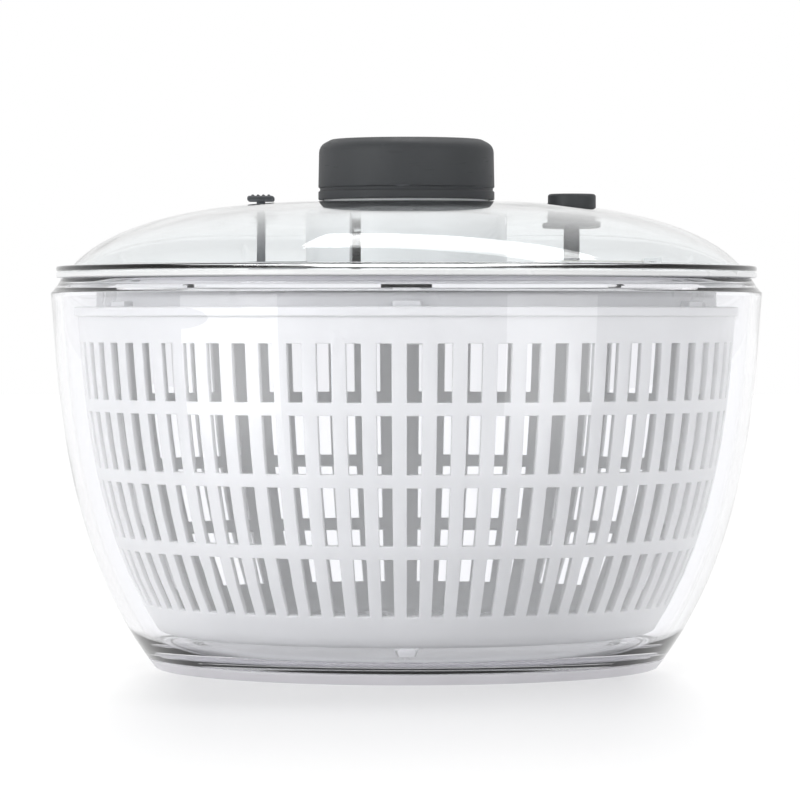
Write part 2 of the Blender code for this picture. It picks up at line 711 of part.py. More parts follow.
def make_hub_cap(material, parent):
    """The closed cup under the turntable that the bar's end runs down into."""
    top = TURNTABLE_BOTTOM - GAP
    screw_room = DRUM_SCREW_ORBIT + 3.2
    corners = [
        (0, WELL_FLOOR),
        (BORE_RADIUS, WELL_FLOOR, 1.0),
        (BORE_RADIUS + 0.6, top - 6.0),
        (screw_room, top - 3.6),
        (screw_room, top),
        (screw_room + 3.4, top, 0.8),
        (screw_room + 2.6, top - 3.4, 2.0),
        (BORE_RADIUS + 4.4, top - 8.0, 3.0),
        (BORE_RADIUS + 2.0, WELL_FLOOR - 2.0, 2.0),
        (0, WELL_FLOOR - 2.0),
    ]
    return turned("hub_cap", corners, material, parent, SMALL_SIDES)


# ---- Drive ---------------------------------------------------------------------------------------------
def make_ratchet_drum(material, parent):
    stem_bottom = TURNTABLE_TOP + GAP
    corners = [
        (BORE_RADIUS, stem_bottom),
        (STEM_RADIUS, stem_bottom),
        (STEM_RADIUS, DRUM_BOTTOM),
        (DRUM_RADIUS, DRUM_BOTTOM, 0.8),
        (DRUM_RADIUS, DRUM_TOP),
        (TOOTH_TIP, DRUM_TOP),
        (TOOTH_TIP, DRUM_FLOOR_TOP),
        (BORE_RADIUS, DRUM_FLOOR_TOP),
    ]
    drum = turned("ratchet_drum", corners, material, parent)
    pitch = 2 * math.pi / TOOTH_COUNT
    outline = []
    for index in range(TOOTH_COUNT):
        steep = TOOTH_PHASE + index * pitch
        for r, angle in ((TOOTH_TIP - 0.4, steep - 0.93 * pitch), (TOOTH_ROOT, steep)):
            outline.append((r * math.cos(angle), r * math.sin(angle)))
    teeth = bmesh.new()
    prism(teeth, outline, DRUM_FLOOR_TOP + 0.5, DRUM_TOP + 1)
    combine(drum, teeth, "DIFFERENCE")
    holes = bmesh.new()
    for x, y in screw_places(DRUM_SCREW_ORBIT):
        rod(holes, DRUM_SCREW_RADIUS + GAP, (x, y, stem_bottom - 1), (x, y, stem_bottom + 5.4))
    combine(drum, holes, "DIFFERENCE")
    return drum


def make_screws(name, radius, places, head_at, tip_at, material, parent):
    """Equal screws. The head is at one height and the tip at another, above or below it."""
    way = 1 if tip_at > head_at else -1
    corners = [
        (0, head_at - way * 1.7),
        (2.0 * radius, head_at - way * 1.3),
        (2.2 * radius, head_at),
        (radius, head_at),
        (radius, tip_at - way * radius),
        (0, tip_at),
    ]
    mesh = bmesh.new()
    revolve(mesh, corners, 8)
    repeat(name, mesh, places, material, parent)


def make_bush(material, parent):
    corners = [
        (BUSH_BORE, PLATE_BOTTOM - 0.5),
        (BUSH_RADIUS, PLATE_BOTTOM - 0.5),
        (BUSH_RADIUS, PLATE_TOP + GAP),
        (BUSH_RADIUS + BUSH_FLANGE, PLATE_TOP + GAP),
        (BUSH_RADIUS + BUSH_FLANGE, BUSH_TOP),
        (BUSH_BORE, BUSH_TOP),
    ]
    return turned("drive_bush", corners, material, parent)


def make_washer(material, parent):
    inner, outer = NUT_HUB_RADIUS + 0.6, NUT_RADIUS - 0.2
    low = WASHER_TOP - WASHER_THICKNESS
    corners = [(inner, low), (outer, low), (outer, WASHER_TOP), (inner, WASHER_TOP)]
    return turned("thrust_washer", corners, material, parent)


def make_nut(material, parent):
    """The nut's lower plate carries the twisted slot. The pawls sit between its two plates."""
    bore = SHANK_RADIUS + SHANK_PLAY
    corners = [
        (0, NUT_BOTTOM),
        (NUT_RADIUS, NUT_BOTTOM),
        (NUT_RADIUS, PAWL_FLOOR),
        (NUT_HUB_RADIUS, PAWL_FLOOR),
        (NUT_HUB_RADIUS, PAWL_CEILING),
        (NUT_RADIUS - NUT_STEP, PAWL_CEILING),
        (NUT_RADIUS - NUT_STEP, NUT_TOP),
        (bore, NUT_TOP),
        (bore, SLOT_TOP),
        (0, SLOT_TOP),
    ]
    nut = turned("drive_nut", corners, material, parent)
    slot = bmesh.new()
    width, thickness = BAR_WIDTH + 2 * BAR_PLAY, BAR_THICKNESS + 2 * BAR_PLAY
    twisted_bar(slot, width, thickness, NUT_BOTTOM - 1, SLOT_TOP + 1)
    combine(nut, slot, "DIFFERENCE")
    holes = bmesh.new()
    for side in (-1, 1):
        x = side * PAWL_ORBIT
        reach = PAWL_PIN_RADIUS + PAWL_PIN_PLAY
        rod(holes, reach, (x, 0, NUT_BOTTOM - 1), (x, 0, NUT_TOP + 1), 8)
    combine(nut, holes, "DIFFERENCE")
    return nut


def make_pawl_pins(material, parent):
    mesh = bmesh.new()
    rod(mesh, PAWL_PIN_RADIUS, (0, 0, NUT_BOTTOM + 0.2), (0, 0, NUT_TOP - 0.2), 8)
    repeat("pawl_pin", mesh, [(PAWL_ORBIT, 0), (-PAWL_ORBIT, 0)], material, parent)


def make_pawl(name, turn, material, parent):
    """A swinging tooth. Its tip points the way the nut turns when the knob goes down."""
    outline = [(-1.2, -2.0), (1.0, -2.0), (1.9, -0.6), (2.2, 3.0), PAWL_TIP, (0.6, 6.0), (-1.6, 1.0)]
    mesh = bmesh.new()
    low, high = PAWL_FLOOR + 0.4, PAWL_CEILING - 0.4
    prism(mesh, outline, low, high, centre=(PAWL_ORBIT, 0), turn=turn)
    pawl = solid(name, mesh, material, parent)
    hole = bmesh.new()
    x = PAWL_ORBIT * math.cos(turn)
    rod(hole, PAWL_PIN_RADIUS + PAWL_PIN_PLAY, (x, 0, low - 1), (x, 0, high + 1), 8)
    combine(pawl, hole, "DIFFERENCE")
    return pawl


def make_housing(material, parent):
    top, flange_top = HOUSING_TOP, HOUSING_BOTTOM + HOUSING_FLANGE_THICKNESS
    corners = [
        (HOUSING_BORE, HOUSING_BOTTOM),
        (HOUSING_FLANGE_RADIUS, HOUSING_BOTTOM),
        (HOUSING_FLANGE_RADIUS, flange_top),
        (HOUSING_RADIUS, flange_top),
        (HOUSING_RADIUS, top),
        (HOUSING_BORE, top),
    ]
    housing = turned("mechanism_housing", corners, material, parent)
    holes = bmesh.new()
    for x, y in screw_places(HOUSING_SCREW_ORBIT, math.pi / 3):
        rod(holes, HOUSING_SCREW_RADIUS + GAP, (x, y, HOUSING_BOTTOM - 1), (x, y, flange_top + 1))
    combine(housing, holes, "DIFFERENCE")
    return housing


def make_housing_cap(material, parent):
    spigot = HOUSING_BORE - GAP
    corners = [
        (CAP_HOLE_RADIUS, HOUSING_TOP - HOUSING_SPIGOT),
        (spigot, HOUSING_TOP - HOUSING_SPIGOT),
        (spigot, HOUSING_TOP + GAP),
        (HOUSING_RADIUS, HOUSING_TOP + GAP),
        (HOUSING_RADIUS, CAP_TOP, 0.8),
        (CAP_HOLE_RADIUS, CAP_TOP),
    ]
    return turned("housing_cap", corners, material, parent)


# ---- Knob ----------------------------------------------------------------------------------------------
def make_drive_bar(material, parent):
    """Round head and shank, drilled for the knob's screw, with the twisted bar below."""
    drill = KNOB_SCREW_RADIUS + GAP
    drill_bottom = HEAD_TOP - KNOB_SCREW_LENGTH - 1.0
    corners = [
        (0, SHANK_BOTTOM),
        (SHANK_RADIUS, SHANK_BOTTOM),
        (SHANK_RADIUS, HEAD_BOTTOM),
        (HEAD_RADIUS, HEAD_BOTTOM),
        (HEAD_RADIUS, HEAD_TOP),
        (drill, HEAD_TOP),
        (drill, drill_bottom),
        (0, drill_bottom),
    ]
    drive_bar = turned("twisted_drive_bar", corners, material, parent, SMALL_SIDES)
    bar = bmesh.new()
    twisted_bar(bar, BAR_WIDTH * 0.98, BAR_THICKNESS, BAR_BOTTOM, SHANK_BOTTOM + 0.6)
    combine(drive_bar, bar, "UNION")
    return drive_bar


def make_knob_core(material, parent):
    hole = KNOB_SCREW_RADIUS + GAP
    corners = [
        (hole, CEILING_Z),
        (CORE_BORE, CEILING_Z, 1.0),
        (CORE_BORE, FLANGE_BOTTOM),
        (FLANGE_RADIUS, FLANGE_BOTTOM),
        (FLANGE_RADIUS, FLANGE_TOP),
        (CORE_RADIUS, FLANGE_TOP),
        (CORE_RADIUS, CORE_TOP, 1.5),
        (hole, CORE_TOP),
    ]
    core = turned("knob_core", corners, material, parent)
    ribs = bmesh.new()
    for k in range(SCREWS):
        low = (FLANGE_RADIUS - 1.2, -RIB_WIDTH / 2, FLANGE_BOTTOM)
        high = (FLANGE_RADIUS + RIB_DEPTH, RIB_WIDTH / 2, FLANGE_TOP)
        block(ribs, low, high, turn=2 * math.pi * k / SCREWS)
    combine(core, ribs, "UNION")
    return core


def make_knob_cap(material, parent):
    bore = CORE_RADIUS + GAP
    ceiling = CORE_TOP + GAP
    corners = [
        (0, ceiling + CAP_BOSS),
        (KNOB_SCREW_RADIUS * 3, ceiling + CAP_BOSS),
        (KNOB_SCREW_RADIUS * 3, ceiling),
        (bore, ceiling, 1.0),
        (bore, KNOB_BOTTOM),
        (KNOB_RADIUS, KNOB_BOTTOM),
        (KNOB_RADIUS, KNOB_TOP - 1.8, 4.0),
        (0.55 * KNOB_RADIUS, KNOB_TOP - 0.4),
        (0, KNOB_TOP),
    ]
    return turned("knob_cap", corners, material, parent)


def make_return_spring(material, parent):
    mesh = bmesh.new()
    bottom, top = PLATE_TOP + GAP, CEILING_Z - GAP
    coil(mesh, (0, 0), SPRING_RADIUS, SPRING_WIRE, bottom, top, SPRING_TURNS, 12)
    return solid("return_spring", mesh, material, parent)


# ---- Lid -----------------------------------------------------------------------------------------------
def make_lid_base(material, parent):
    groove = GASKET_RADIUS - GASKET_WIDTH - GAP
    gasket_low = gasket_bottom() - GAP
    gasket_high = gasket_low + GASKET_HEIGHT + 2 * GAP
    collar_top = COVER_LIP_BOTTOM - 0.6
    corners = [
        (BUSH_SEAT, PLATE_BOTTOM),
        (LID_WALL_RADIUS, PLATE_BOTTOM),
        (LID_WALL_RADIUS, gasket_low),
        (groove, gasket_low),
        (groove, gasket_high),
        (LID_WALL_RADIUS, gasket_high),
        (LID_WALL_RADIUS, LID_FLANGE_BOTTOM),
        (LID_RADIUS, LID_FLANGE_BOTTOM),
        (LID_RADIUS, LID_FLANGE_TOP),
        (LID_WALL_RADIUS - LID_WALL, LID_FLANGE_TOP),
        (LID_WALL_RADIUS - LID_WALL, PLATE_TOP),
        (COLLAR_RADIUS, PLATE_TOP),
        (COLLAR_RADIUS, collar_top),
        (COLLAR_BORE, collar_top),
        (COLLAR_BORE, PLATE_TOP),
        (BUSH_SEAT, PLATE_TOP),
    ]
    base = turned("lid_base", corners, material, parent, LARGE_SIDES)
    cuts = bmesh.new()
    for k in range(SCREWS):
        low = (COLLAR_BORE - 1.0, -RIB_WIDTH / 2 - 0.4, PLATE_TOP + 0.6)
        high = (COLLAR_RADIUS + 1.0, RIB_WIDTH / 2 + 0.4, collar_top + 1.0)
        block(cuts, low, high, turn=2 * math.pi * k / SCREWS)
    tongue_bottom, tongue_top = tongue_heights()
    window = LOCK_WIDTH / 2 + RUN
    low = (-COLLAR_RADIUS - 1.0, -window, tongue_bottom - RUN)
    block(cuts, low, (-COLLAR_BORE + 1.5, window, tongue_top + RUN))
    for x, y in screw_places(HOUSING_SCREW_ORBIT, math.pi / 3):
        rod(cuts, HOUSING_SCREW_RADIUS + GAP, (x, y, PLATE_BOTTOM - 1), (x, y, PLATE_TOP + 1))
    room = PAD_LENGTH / 2 + 3.4
    low = (PAD_X - room, -PAD_WIDTH / 2 - 1.5, PLATE_BOTTOM - 1)
    block(cuts, low, (PAD_X + room, PAD_WIDTH / 2 + 1.5, PLATE_TOP + 1))
    combine(base, cuts, "DIFFERENCE")
    posts = bmesh.new()
    inner = LEVER_WIDTH / 2 + RUN
    for side in (-1, 1):
        ends = sorted((side * inner, side * (inner + POST_THICKNESS)))
        low = (PIVOT_X - POST_HALF, ends[0], PLATE_TOP - SINK)
        block(posts, low, (PIVOT_X + POST_HALF, ends[1], PIN_Z + POST_RISE))
    rail = LOCK_WIDTH / 2 + RUN
    for side in (-1, 1):
        ends = sorted((side * rail, side * (rail + RAIL_WIDTH)))
        low = (lock_back() - 2.0, ends[0], PLATE_TOP - SINK)
        block(posts, low, (-COLLAR_RADIUS - 2.0, ends[1], PLATE_TOP + RAIL_HEIGHT))
    combine(base, posts, "UNION")
    bores = bmesh.new()
    reach = inner + POST_THICKNESS + 1.0
    rod(bores, PIN_RADIUS + GAP, (PIVOT_X, -reach, PIN_Z), (PIVOT_X, reach, PIN_Z))
    combine(base, bores, "DIFFERENCE")
    return base


def gasket_bottom():
    """The gasket sits half way up the lid's wall, under the flange."""
    return (PLATE_BOTTOM + LID_FLANGE_BOTTOM - GASKET_HEIGHT) / 2


def make_gasket(material, parent):
    low = gasket_bottom()
    corners = [
        (GASKET_RADIUS - GASKET_WIDTH, low),
        (GASKET_RADIUS, low),
        (GASKET_RADIUS, low + GASKET_HEIGHT),
        (GASKET_RADIUS - GASKET_WIDTH, low + GASKET_HEIGHT),
    ]
    return turned("lid_gasket", corners, material, parent, LARGE_SIDES)


def cover_curve():
    """The dome's outer surface, from its flat edge up to the crown round the knob."""
    start = (LID_RADIUS - COVER_EDGE, LID_FLANGE_TOP + GAP + COVER_WALL)
    end = (OPENING_RADIUS + COVER_LIP, COVER_TOP)
    run, rise = COVER_SHOULDER
    return bezier(
        start,
        (start[0] - run, start[1] + rise),
        (min(end[0] + COVER_CROWN, start[0] - 2 * run), end[1]),
        end,
        6,
    )


def make_cover(material, parent):
    dome = cover_curve()
    edge = LID_FLANGE_TOP + GAP
    under = [point for point in offset(dome, -COVER_WALL) if point[1] > edge + 0.5]
    corners = [
        (LID_RADIUS, edge),
        (LID_RADIUS, edge + COVER_WALL, 0.8),
        *dome,
        (OPENING_RADIUS, COVER_TOP),
        (OPENING_RADIUS, COVER_LIP_BOTTOM),
        *reversed(under),
        (under[0][0] + 1.0, edge),
    ]
    cover = turned("lid_cover", corners, material, parent, LARGE_SIDES)
    cuts = bmesh.new()
    low, high = (BUTTON_X, 0, PLATE_TOP + 10), (BUTTON_X, 0, COVER_TOP + 10)
    rod(cuts, BUTTON_RADIUS + RUN, low, high, MEDIUM_SIDES)
    web = web_back()
    low = (web - 0.7, -LOCK_WIDTH / 2 + 0.4, PLATE_TOP + 10)
    block(cuts, low, (web + LOCK_WEB + LOCK_TRAVEL + 0.7, LOCK_WIDTH / 2 - 0.4, COVER_TOP + 10))
    combine(cover, cuts, "DIFFERENCE")
    return cover


# ---- Brake ---------------------------------------------------------------------------------------------
def dome_under(radius):
    """Height of the cover's inner surface at a radius."""
    under = offset(cover_curve(), -COVER_WALL)
    for (r_out, z_low), (r_in, z_high) in zip(under, under[1:]):
        if r_in <= radius <= r_out:
            return z_low + (z_high - z_low) * (r_out - radius) / (r_out - r_in)
    return COVER_LIP_BOTTOM


def make_button(material, parent):
    stop = dome_under(BUTTON_X + BUTTON_RADIUS + BUTTON_FLANGE) - 0.4
    top = dome_under(BUTTON_X) + COVER_WALL + BUTTON_PROUD
    stem_bottom = PIN_Z + LEVER_THICKNESS / 2 + RUN
    corners = [
        (0, stem_bottom),
        (BUTTON_STEM, stem_bottom),
        (BUTTON_STEM, stop - BUTTON_FLANGE),
        (BUTTON_RADIUS + BUTTON_FLANGE, stop - BUTTON_FLANGE),
        (BUTTON_RADIUS + BUTTON_FLANGE, stop),
        (BUTTON_RADIUS, stop),
        (BUTTON_RADIUS, top, 1.6),
        (0.5 * BUTTON_RADIUS, top - 0.4),
        (0, top - 0.7),
    ]
    mesh = bmesh.new()
    revolve(mesh, corners, MEDIUM_SIDES)
    bmesh.ops.translate(mesh, vec=(BUTTON_X, 0, 0), verts=mesh.verts)
    return solid("brake_button", mesh, material, parent)


def make_brake_lever(material, parent):
    half = LEVER_WIDTH / 2
    low, high = PIN_Z - LEVER_THICKNESS / 2, PIN_Z + LEVER_THICKNESS / 2
    mesh = bmesh.new()
    block(mesh, (BUTTON_X - 4.0, -half, low), (PIVOT_X + 2.4, half, high))
    lever = solid("brake_lever", mesh, material, parent)
    leg = bmesh.new()
    foot = PAD_TOP + GAP
    block(leg, (PAD_X - PAD_LENGTH / 2, -half, foot), (PAD_X + PAD_LENGTH / 2, half, low + SINK))
    combine(lever, leg, "UNION")
    bore = bmesh.new()
    rod(bore, PIN_RADIUS + GAP, (PIVOT_X, -half - 1, PIN_Z), (PIVOT_X, half + 1, PIN_Z))
    combine(lever, bore, "DIFFERENCE")
    return lever


def make_brake_pad(material, parent):
    mesh = bmesh.new()
    low = (PAD_X - PAD_LENGTH / 2, -PAD_WIDTH / 2, PAD_TOP - PAD_THICKNESS)
    block(mesh, low, (PAD_X + PAD_LENGTH / 2, PAD_WIDTH / 2, PAD_TOP))
    return solid("brake_pad", mesh, material, parent)


def make_brake_pin(material, parent):
    reach = LEVER_WIDTH / 2 + RUN + POST_THICKNESS
    mesh = bmesh.new()
    rod(mesh, PIN_RADIUS, (PIVOT_X, -reach, PIN_Z), (PIVOT_X, reach, PIN_Z))
    return solid("brake_pin", mesh, material, parent)


def make_brake_spring(material, parent):
    bottom, top = PLATE_TOP + GAP, PIN_Z - LEVER_THICKNESS / 2 - GAP
    mesh = bmesh.new()
    coil(mesh, (BUTTON_X, 0), BRAKE_COIL_RADIUS, BRAKE_WIRE, bottom, top, BRAKE_TURNS, 8)
    return solid("brake_spring", mesh, material, parent)


# ---- Knob lock -----------------------------------------------------------------------------------------
def tongue_heights():
    bottom = PLATE_TOP + FLANGE_REST_GAP + FLANGE_THICKNESS + TONGUE_RUN
    return bottom, bottom + TONGUE_THICKNESS


def lock_back():
    return -COLLAR_RADIUS - LOCK_SETBACK - LOCK_BLOCK


def web_back():
    return lock_back() + WEB_INSET


def make_lock(material, parent):
    tongue_bottom, tongue_top = tongue_heights()
    half = LOCK_WIDTH / 2
    back, front = lock_back(), lock_back() + LOCK_BLOCK - LOCK_TRAVEL
    mesh = bmesh.new()
    block(mesh, (back, -half, PLATE_TOP + 0.4), (front, half, tongue_top))
    lock = solid("knob_lock", mesh, material, parent)
    added = bmesh.new()
    tip = -COLLAR_BORE - LOCK_REACH
    block(added, (front - 1.0, -half, tongue_bottom), (tip, half, tongue_top - 0.01))
    web = web_back()
    tab_bottom = dome_under(-web) + COVER_WALL + TAB_RUN
    narrow = half - 1.0
    block(added, (web, -narrow, tongue_top - SINK), (web + LOCK_WEB, narrow, tab_bottom + SINK))
    combine(lock, added, "UNION")
    tab = bmesh.new()
    middle = web + LOCK_WEB / 2
    low = (middle - TAB_LENGTH / 2, -half - 1, tab_bottom)
    block(tab, low, (middle + TAB_LENGTH / 2, half + 1, tab_bottom + TAB_THICKNESS))
    combine(lock, tab, "UNION")
    return lock


# ---- Assembly ------------------------------------------------------------------------------------------
def make_groups():
    root = group("bowl_axis", (0, 0, 0))
    lid = group("lid_axis", (0, 0, BOWL_HEIGHT), root)
    nut = group("nut_axis", (0, 0, NUT_BOTTOM), lid)
    return {
        "bowl": root,
        "basket": group("basket_axis", (0, 0, PIVOT_TOP), root),
        "lid": lid,
        "turntable": group("turntable_axis", (0, 0, TURNTABLE_TOP), lid),
        "nut": nut,
        "pawl_right": group("pawl_right_axis", (PAWL_ORBIT, 0, NUT_BOTTOM), nut),
        "pawl_left": group("pawl_left_axis", (-PAWL_ORBIT, 0, NUT_BOTTOM), nut),
        "knob": group("knob_axis", (0, 0, FLANGE_BOTTOM), lid),
        "button": group("brake_button_axis", (BUTTON_X, 0, PIN_Z), lid),
        "lever": group("brake_lever_axis", (PIVOT_X, 0, PIN_Z), lid),
        "lock": group("knob_lock_axis", (web_back(), 0, PLATE_TOP), lid),
    }


def make_finishes():
    return {
        "glass": finish("clear_glass", (0.93, 0.95, 0.95), 0.03, transmission=0.95),
        "silicone": finish("clear_silicone", (0.80, 0.81, 0.83), 0.45),
        "basket": finish("white_basket_plastic", (0.90, 0.90, 0.89), 0.35),
        "lid": finish("white_lid_plastic", (0.88, 0.88, 0.88), 0.30),
        "clear": finish("clear_plastic", (0.92, 0.93, 0.94), 0.06, transmission=0.9),
        "grip": finish("charcoal_soft_plastic", (0.045, 0.047, 0.05), 0.6),
        "acetal": finish("natural_acetal", (0.83, 0.82, 0.77), 0.4),
        "steel": finish("spring_steel", (0.62, 0.62, 0.63), 0.25, metallic=1.0),
        "rubber": finish("brake_rubber", (0.10, 0.10, 0.10), 0.8),
    }


def build():
    clear_scene()
    axis, paint = make_groups(), make_finishes()
    make_bowl(paint["glass"], axis["bowl"])
    make_foot_ring(paint["silicone"], axis["bowl"])
    make_basket(paint["basket"], axis["basket"])
    make_turntable(paint["lid"], axis["turntable"])
    make_hub_cap(paint["lid"], axis["turntable"])
    make_ratchet_drum(paint["acetal"], axis["turntable"])
    make_washer(paint["steel"], axis["turntable"])
    drum_screws = screw_places(DRUM_SCREW_ORBIT)
    head, tip = TURNTABLE_BOTTOM - 0.2, TURNTABLE_TOP + 5.0
    make_screws("drum_screw", DRUM_SCREW_RADIUS, drum_screws, head, tip, paint["steel"], axis["turntable"])
    make_lid_base(paint["lid"], axis["lid"])
    make_gasket(paint["silicone"], axis["lid"])
    make_bush(paint["acetal"], axis["lid"])
    make_housing(paint["lid"], axis["lid"])
    make_housing_cap(paint["lid"], axis["lid"])
    housing_screws = screw_places(HOUSING_SCREW_ORBIT, math.pi / 3)
    head, tip = HOUSING_BOTTOM + 2.2, PLATE_BOTTOM + 0.3
    make_screws("housing_screw", HOUSING_SCREW_RADIUS, housing_screws, head, tip, paint["steel"], axis["lid"])
    make_return_spring(paint["steel"], axis["lid"])
    make_cover(paint["clear"], axis["lid"])
    make_brake_pin(paint["steel"], axis["lid"])
    make_brake_spring(paint["steel"], axis["lid"])
    make_nut(paint["acetal"], axis["nut"])
    make_pawl_pins(paint["steel"], axis["nut"])
    make_pawl("pawl_right", 0.0, paint["acetal"], axis["pawl_right"])
    make_pawl("pawl_left", math.pi, paint["acetal"], axis["pawl_left"])
    make_knob_core(paint["lid"], axis["knob"])
    make_knob_cap(paint["grip"], axis["knob"])
    make_drive_bar(paint["steel"], axis["knob"])
    head, tip = CORE_TOP + 0.2, HEAD_TOP - KNOB_SCREW_LENGTH
    make_screws("knob_screw", KNOB_SCREW_RADIUS, [(0, 0)], head, tip, paint["steel"], axis["knob"])
    make_button(paint["grip"], axis["button"])
    make_brake_lever(paint["acetal"], axis["lever"])
    make_brake_pad(paint["rubber"], axis["lever"])
    make_lock(paint["grip"], axis["lock"])


build()
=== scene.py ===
"""Salad spinner: the finished surfaces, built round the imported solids."""

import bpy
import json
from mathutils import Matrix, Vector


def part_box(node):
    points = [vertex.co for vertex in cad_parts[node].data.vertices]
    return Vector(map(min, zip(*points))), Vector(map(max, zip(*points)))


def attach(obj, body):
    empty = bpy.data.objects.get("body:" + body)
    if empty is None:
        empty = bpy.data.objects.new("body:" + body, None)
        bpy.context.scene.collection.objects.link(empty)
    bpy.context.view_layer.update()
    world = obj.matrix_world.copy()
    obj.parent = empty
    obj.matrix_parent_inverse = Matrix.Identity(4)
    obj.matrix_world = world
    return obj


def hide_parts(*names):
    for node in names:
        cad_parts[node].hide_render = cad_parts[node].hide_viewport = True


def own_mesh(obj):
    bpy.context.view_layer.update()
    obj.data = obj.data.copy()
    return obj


bl_info = {
    "name": "Salad Spinner",
    "version": (1, 0, 0),
    "blender": (4, 5, 0),
    "location": "View3D > Sidebar > Spinner",
    "description": "Models a press-down salad spinner with a glass bowl, and its studio",
    "category": "Add Mesh",
}

import json
import math

import bmesh
import bpy
from bpy.props import FloatProperty, FloatVectorProperty, IntProperty, PointerProperty
from bpy.types import Operator, Panel, PropertyGroup
from mathutils import Matrix, Vector

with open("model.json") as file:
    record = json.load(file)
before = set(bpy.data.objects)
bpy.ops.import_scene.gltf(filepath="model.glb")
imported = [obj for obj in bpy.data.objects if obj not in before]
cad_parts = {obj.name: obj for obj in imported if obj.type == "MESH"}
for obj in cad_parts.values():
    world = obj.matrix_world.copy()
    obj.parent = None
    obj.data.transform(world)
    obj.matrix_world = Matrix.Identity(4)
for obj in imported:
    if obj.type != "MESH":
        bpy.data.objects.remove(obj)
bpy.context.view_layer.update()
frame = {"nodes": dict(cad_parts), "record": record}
MM = 0.001
ROUND = 0.35  # fillet of an ordinary moulded edge, in mm
SEAT_GAP = 0.3  # between pieces that rest on each other, in mm
WELD = 2e-6  # points closer than this are one, in metres
FULL_TURN = 2 * math.pi
STRAIGHT = math.radians(178)  # a corner opened wider than this needs no fillet
FINE_SIDES = 144  # of the large turned pieces
WIRE_SIDES = 10
COIL_STEPS = 28  # of a spring, in each turn
LUGS = 6  # under the turntable, each between two keys of the basket
FIRST_LUG = math.radians(30)


def span(node):
    """Lowest and highest corner of a CAD node, in millimetres."""
    low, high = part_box(node)
    return low / MM, high / MM


BOWL_LOW, BOWL_HIGH = span("bowl")
BASKET_LOW, BASKET_HIGH = span("basket")
TABLE_LOW, TABLE_HIGH = span("turntable")
WELL_LOW, WELL_HIGH = span("hub_cap")
BASE_LOW, BASE_HIGH = span("lid_base")
GASKET_LOW, GASKET_HIGH = span("lid_gasket")
RING_LOW, RING_HIGH = span("non_slip_ring")
COVER_LOW, COVER_HIGH = span("lid_cover")
CAP_LOW, CAP_HIGH = span("knob_cap")
CORE_LOW, CORE_HIGH = span("knob_core")
SPRING_LOW, SPRING_HIGH = span("return_spring")
BUTTON_LOW, BUTTON_HIGH = span("brake_button")
LEVER_LOW, LEVER_HIGH = span("brake_lever")
PAD_LOW, PAD_HIGH = span("brake_pad")
PIN_LOW, PIN_HIGH = span("brake_pin")
BRAKE_SPRING_LOW, BRAKE_SPRING_HIGH = span("brake_spring")
LOCK_LOW, LOCK_HIGH = span("knob_lock")


# ---- Settings ----
def length(name, text, default):
    return FloatProperty(name=name, description=text, default=default * MM, unit="LENGTH", precision=5)


def colour(name, text, default):
    return FloatVectorProperty(
        name=name, description=text, default=default, subtype="COLOR", size=3, min=0, max=1
    )


class BowlSettings(PropertyGroup):
    rim_radius: length("Rim radius", "Radius of the bowl at the ledge under its lip", BOWL_HIGH.x)
    height: length("Height", "Top of the lip above the table", BOWL_HIGH.z)
    foot_radius: length("Foot radius", "Radius where the wall meets the underside", 94.1)
    wall: length("Wall", "Thickness of the glass wall", 3.9)
    floor: length("Floor", "Height of the inside of the floor", 7.0)
    lip: length("Lip", "Height of the lip above the ledge", 5.2)
    glass: colour("Glass", "Tint of the glass", (0.966, 0.968, 0.986))
    silicone: colour("Silicone", "Colour of the clear rubber rings", (0.80, 0.79, 0.82))


class BasketSettings(PropertyGroup):
    clearance: length("Clearance", "Gap between the glass and the basket", 5.5)
    wall: length("Wall", "Thickness of the basket's wall", 2.0)
    slots: IntProperty(name="Slots", description="Slots round the basket", default=72, min=24, max=96)
    plastic: colour("Plastic", "Colour of the basket", (0.86, 0.865, 0.86))


class LidSettings(PropertyGroup):
    plastic: colour("Plastic", "Colour of the inner lid and the turntable", (0.83, 0.835, 0.84))
    cover: colour("Cover", "Tint of the clear cover", (0.95, 0.965, 0.97))
    knob: colour("Knob", "Colour of the knob, the button and the lock", (0.043, 0.046, 0.050))
    acetal: colour("Acetal", "Colour of the drive's plastic", (0.80, 0.79, 0.74))
    steel: colour("Steel", "Colour of springs, pins and screws", (0.60, 0.60, 0.61))
    rubber: colour("Rubber", "Colour of the brake's pad", (0.05, 0.05, 0.05))
    ribs: IntProperty(name="Ribs", description="Ribs on the inner lid", default=12, min=4, max=24)


class StageSettings(PropertyGroup):
    # Floor and Glow set the paper inside the painted shade round the bowl: its colour, and a painted glow
    # of its own that also lightens the real shadow under the bowl.
    floor: colour("Floor", "Colour of the paper round the bowl", (0.40, 0.40, 0.405))
    glow: colour("Glow", "Light that comes up through the paper", (0.46, 0.46, 0.465))
    distance: length("Distance", "Camera to the spin axis", 1700)
    eye_height: length("Eye height", "Camera above the table", 130)
    aim_height: length("Aim height", "Middle of the view, above the table", 99.6)
    aside: length("Aside", "Camera to the left of the spin axis", 2.4)
    lens: FloatProperty(name="Lens", description="Focal length", default=204, unit="CAMERA")


# ---- Profiles ----
def curve(start, handle_a, handle_b, end, steps):
    points = []
    for step in range(steps + 1):
        t = step / steps
        a, b, c, d = (1 - t) ** 3, 3 * (1 - t) ** 2 * t, 3 * (1 - t) * t**2, t**3
        points.append(
            tuple(a * p + b * q + c * r + d * s for p, q, r, s in zip(start, handle_a, handle_b, end))
        )
    return points


def beside(points, distance):
    """The curve moved to its right, when walked from first to last."""
    moved = []
    for index, (r, z) in enumerate(points):
        before, after = points[max(index - 1, 0)], points[min(index + 1, len(points) - 1)]
        along = Vector((after[0] - before[0], after[1] - before[1])).normalized()
        moved.append((r + along.y * distance, z - along.x * distance))
    return moved


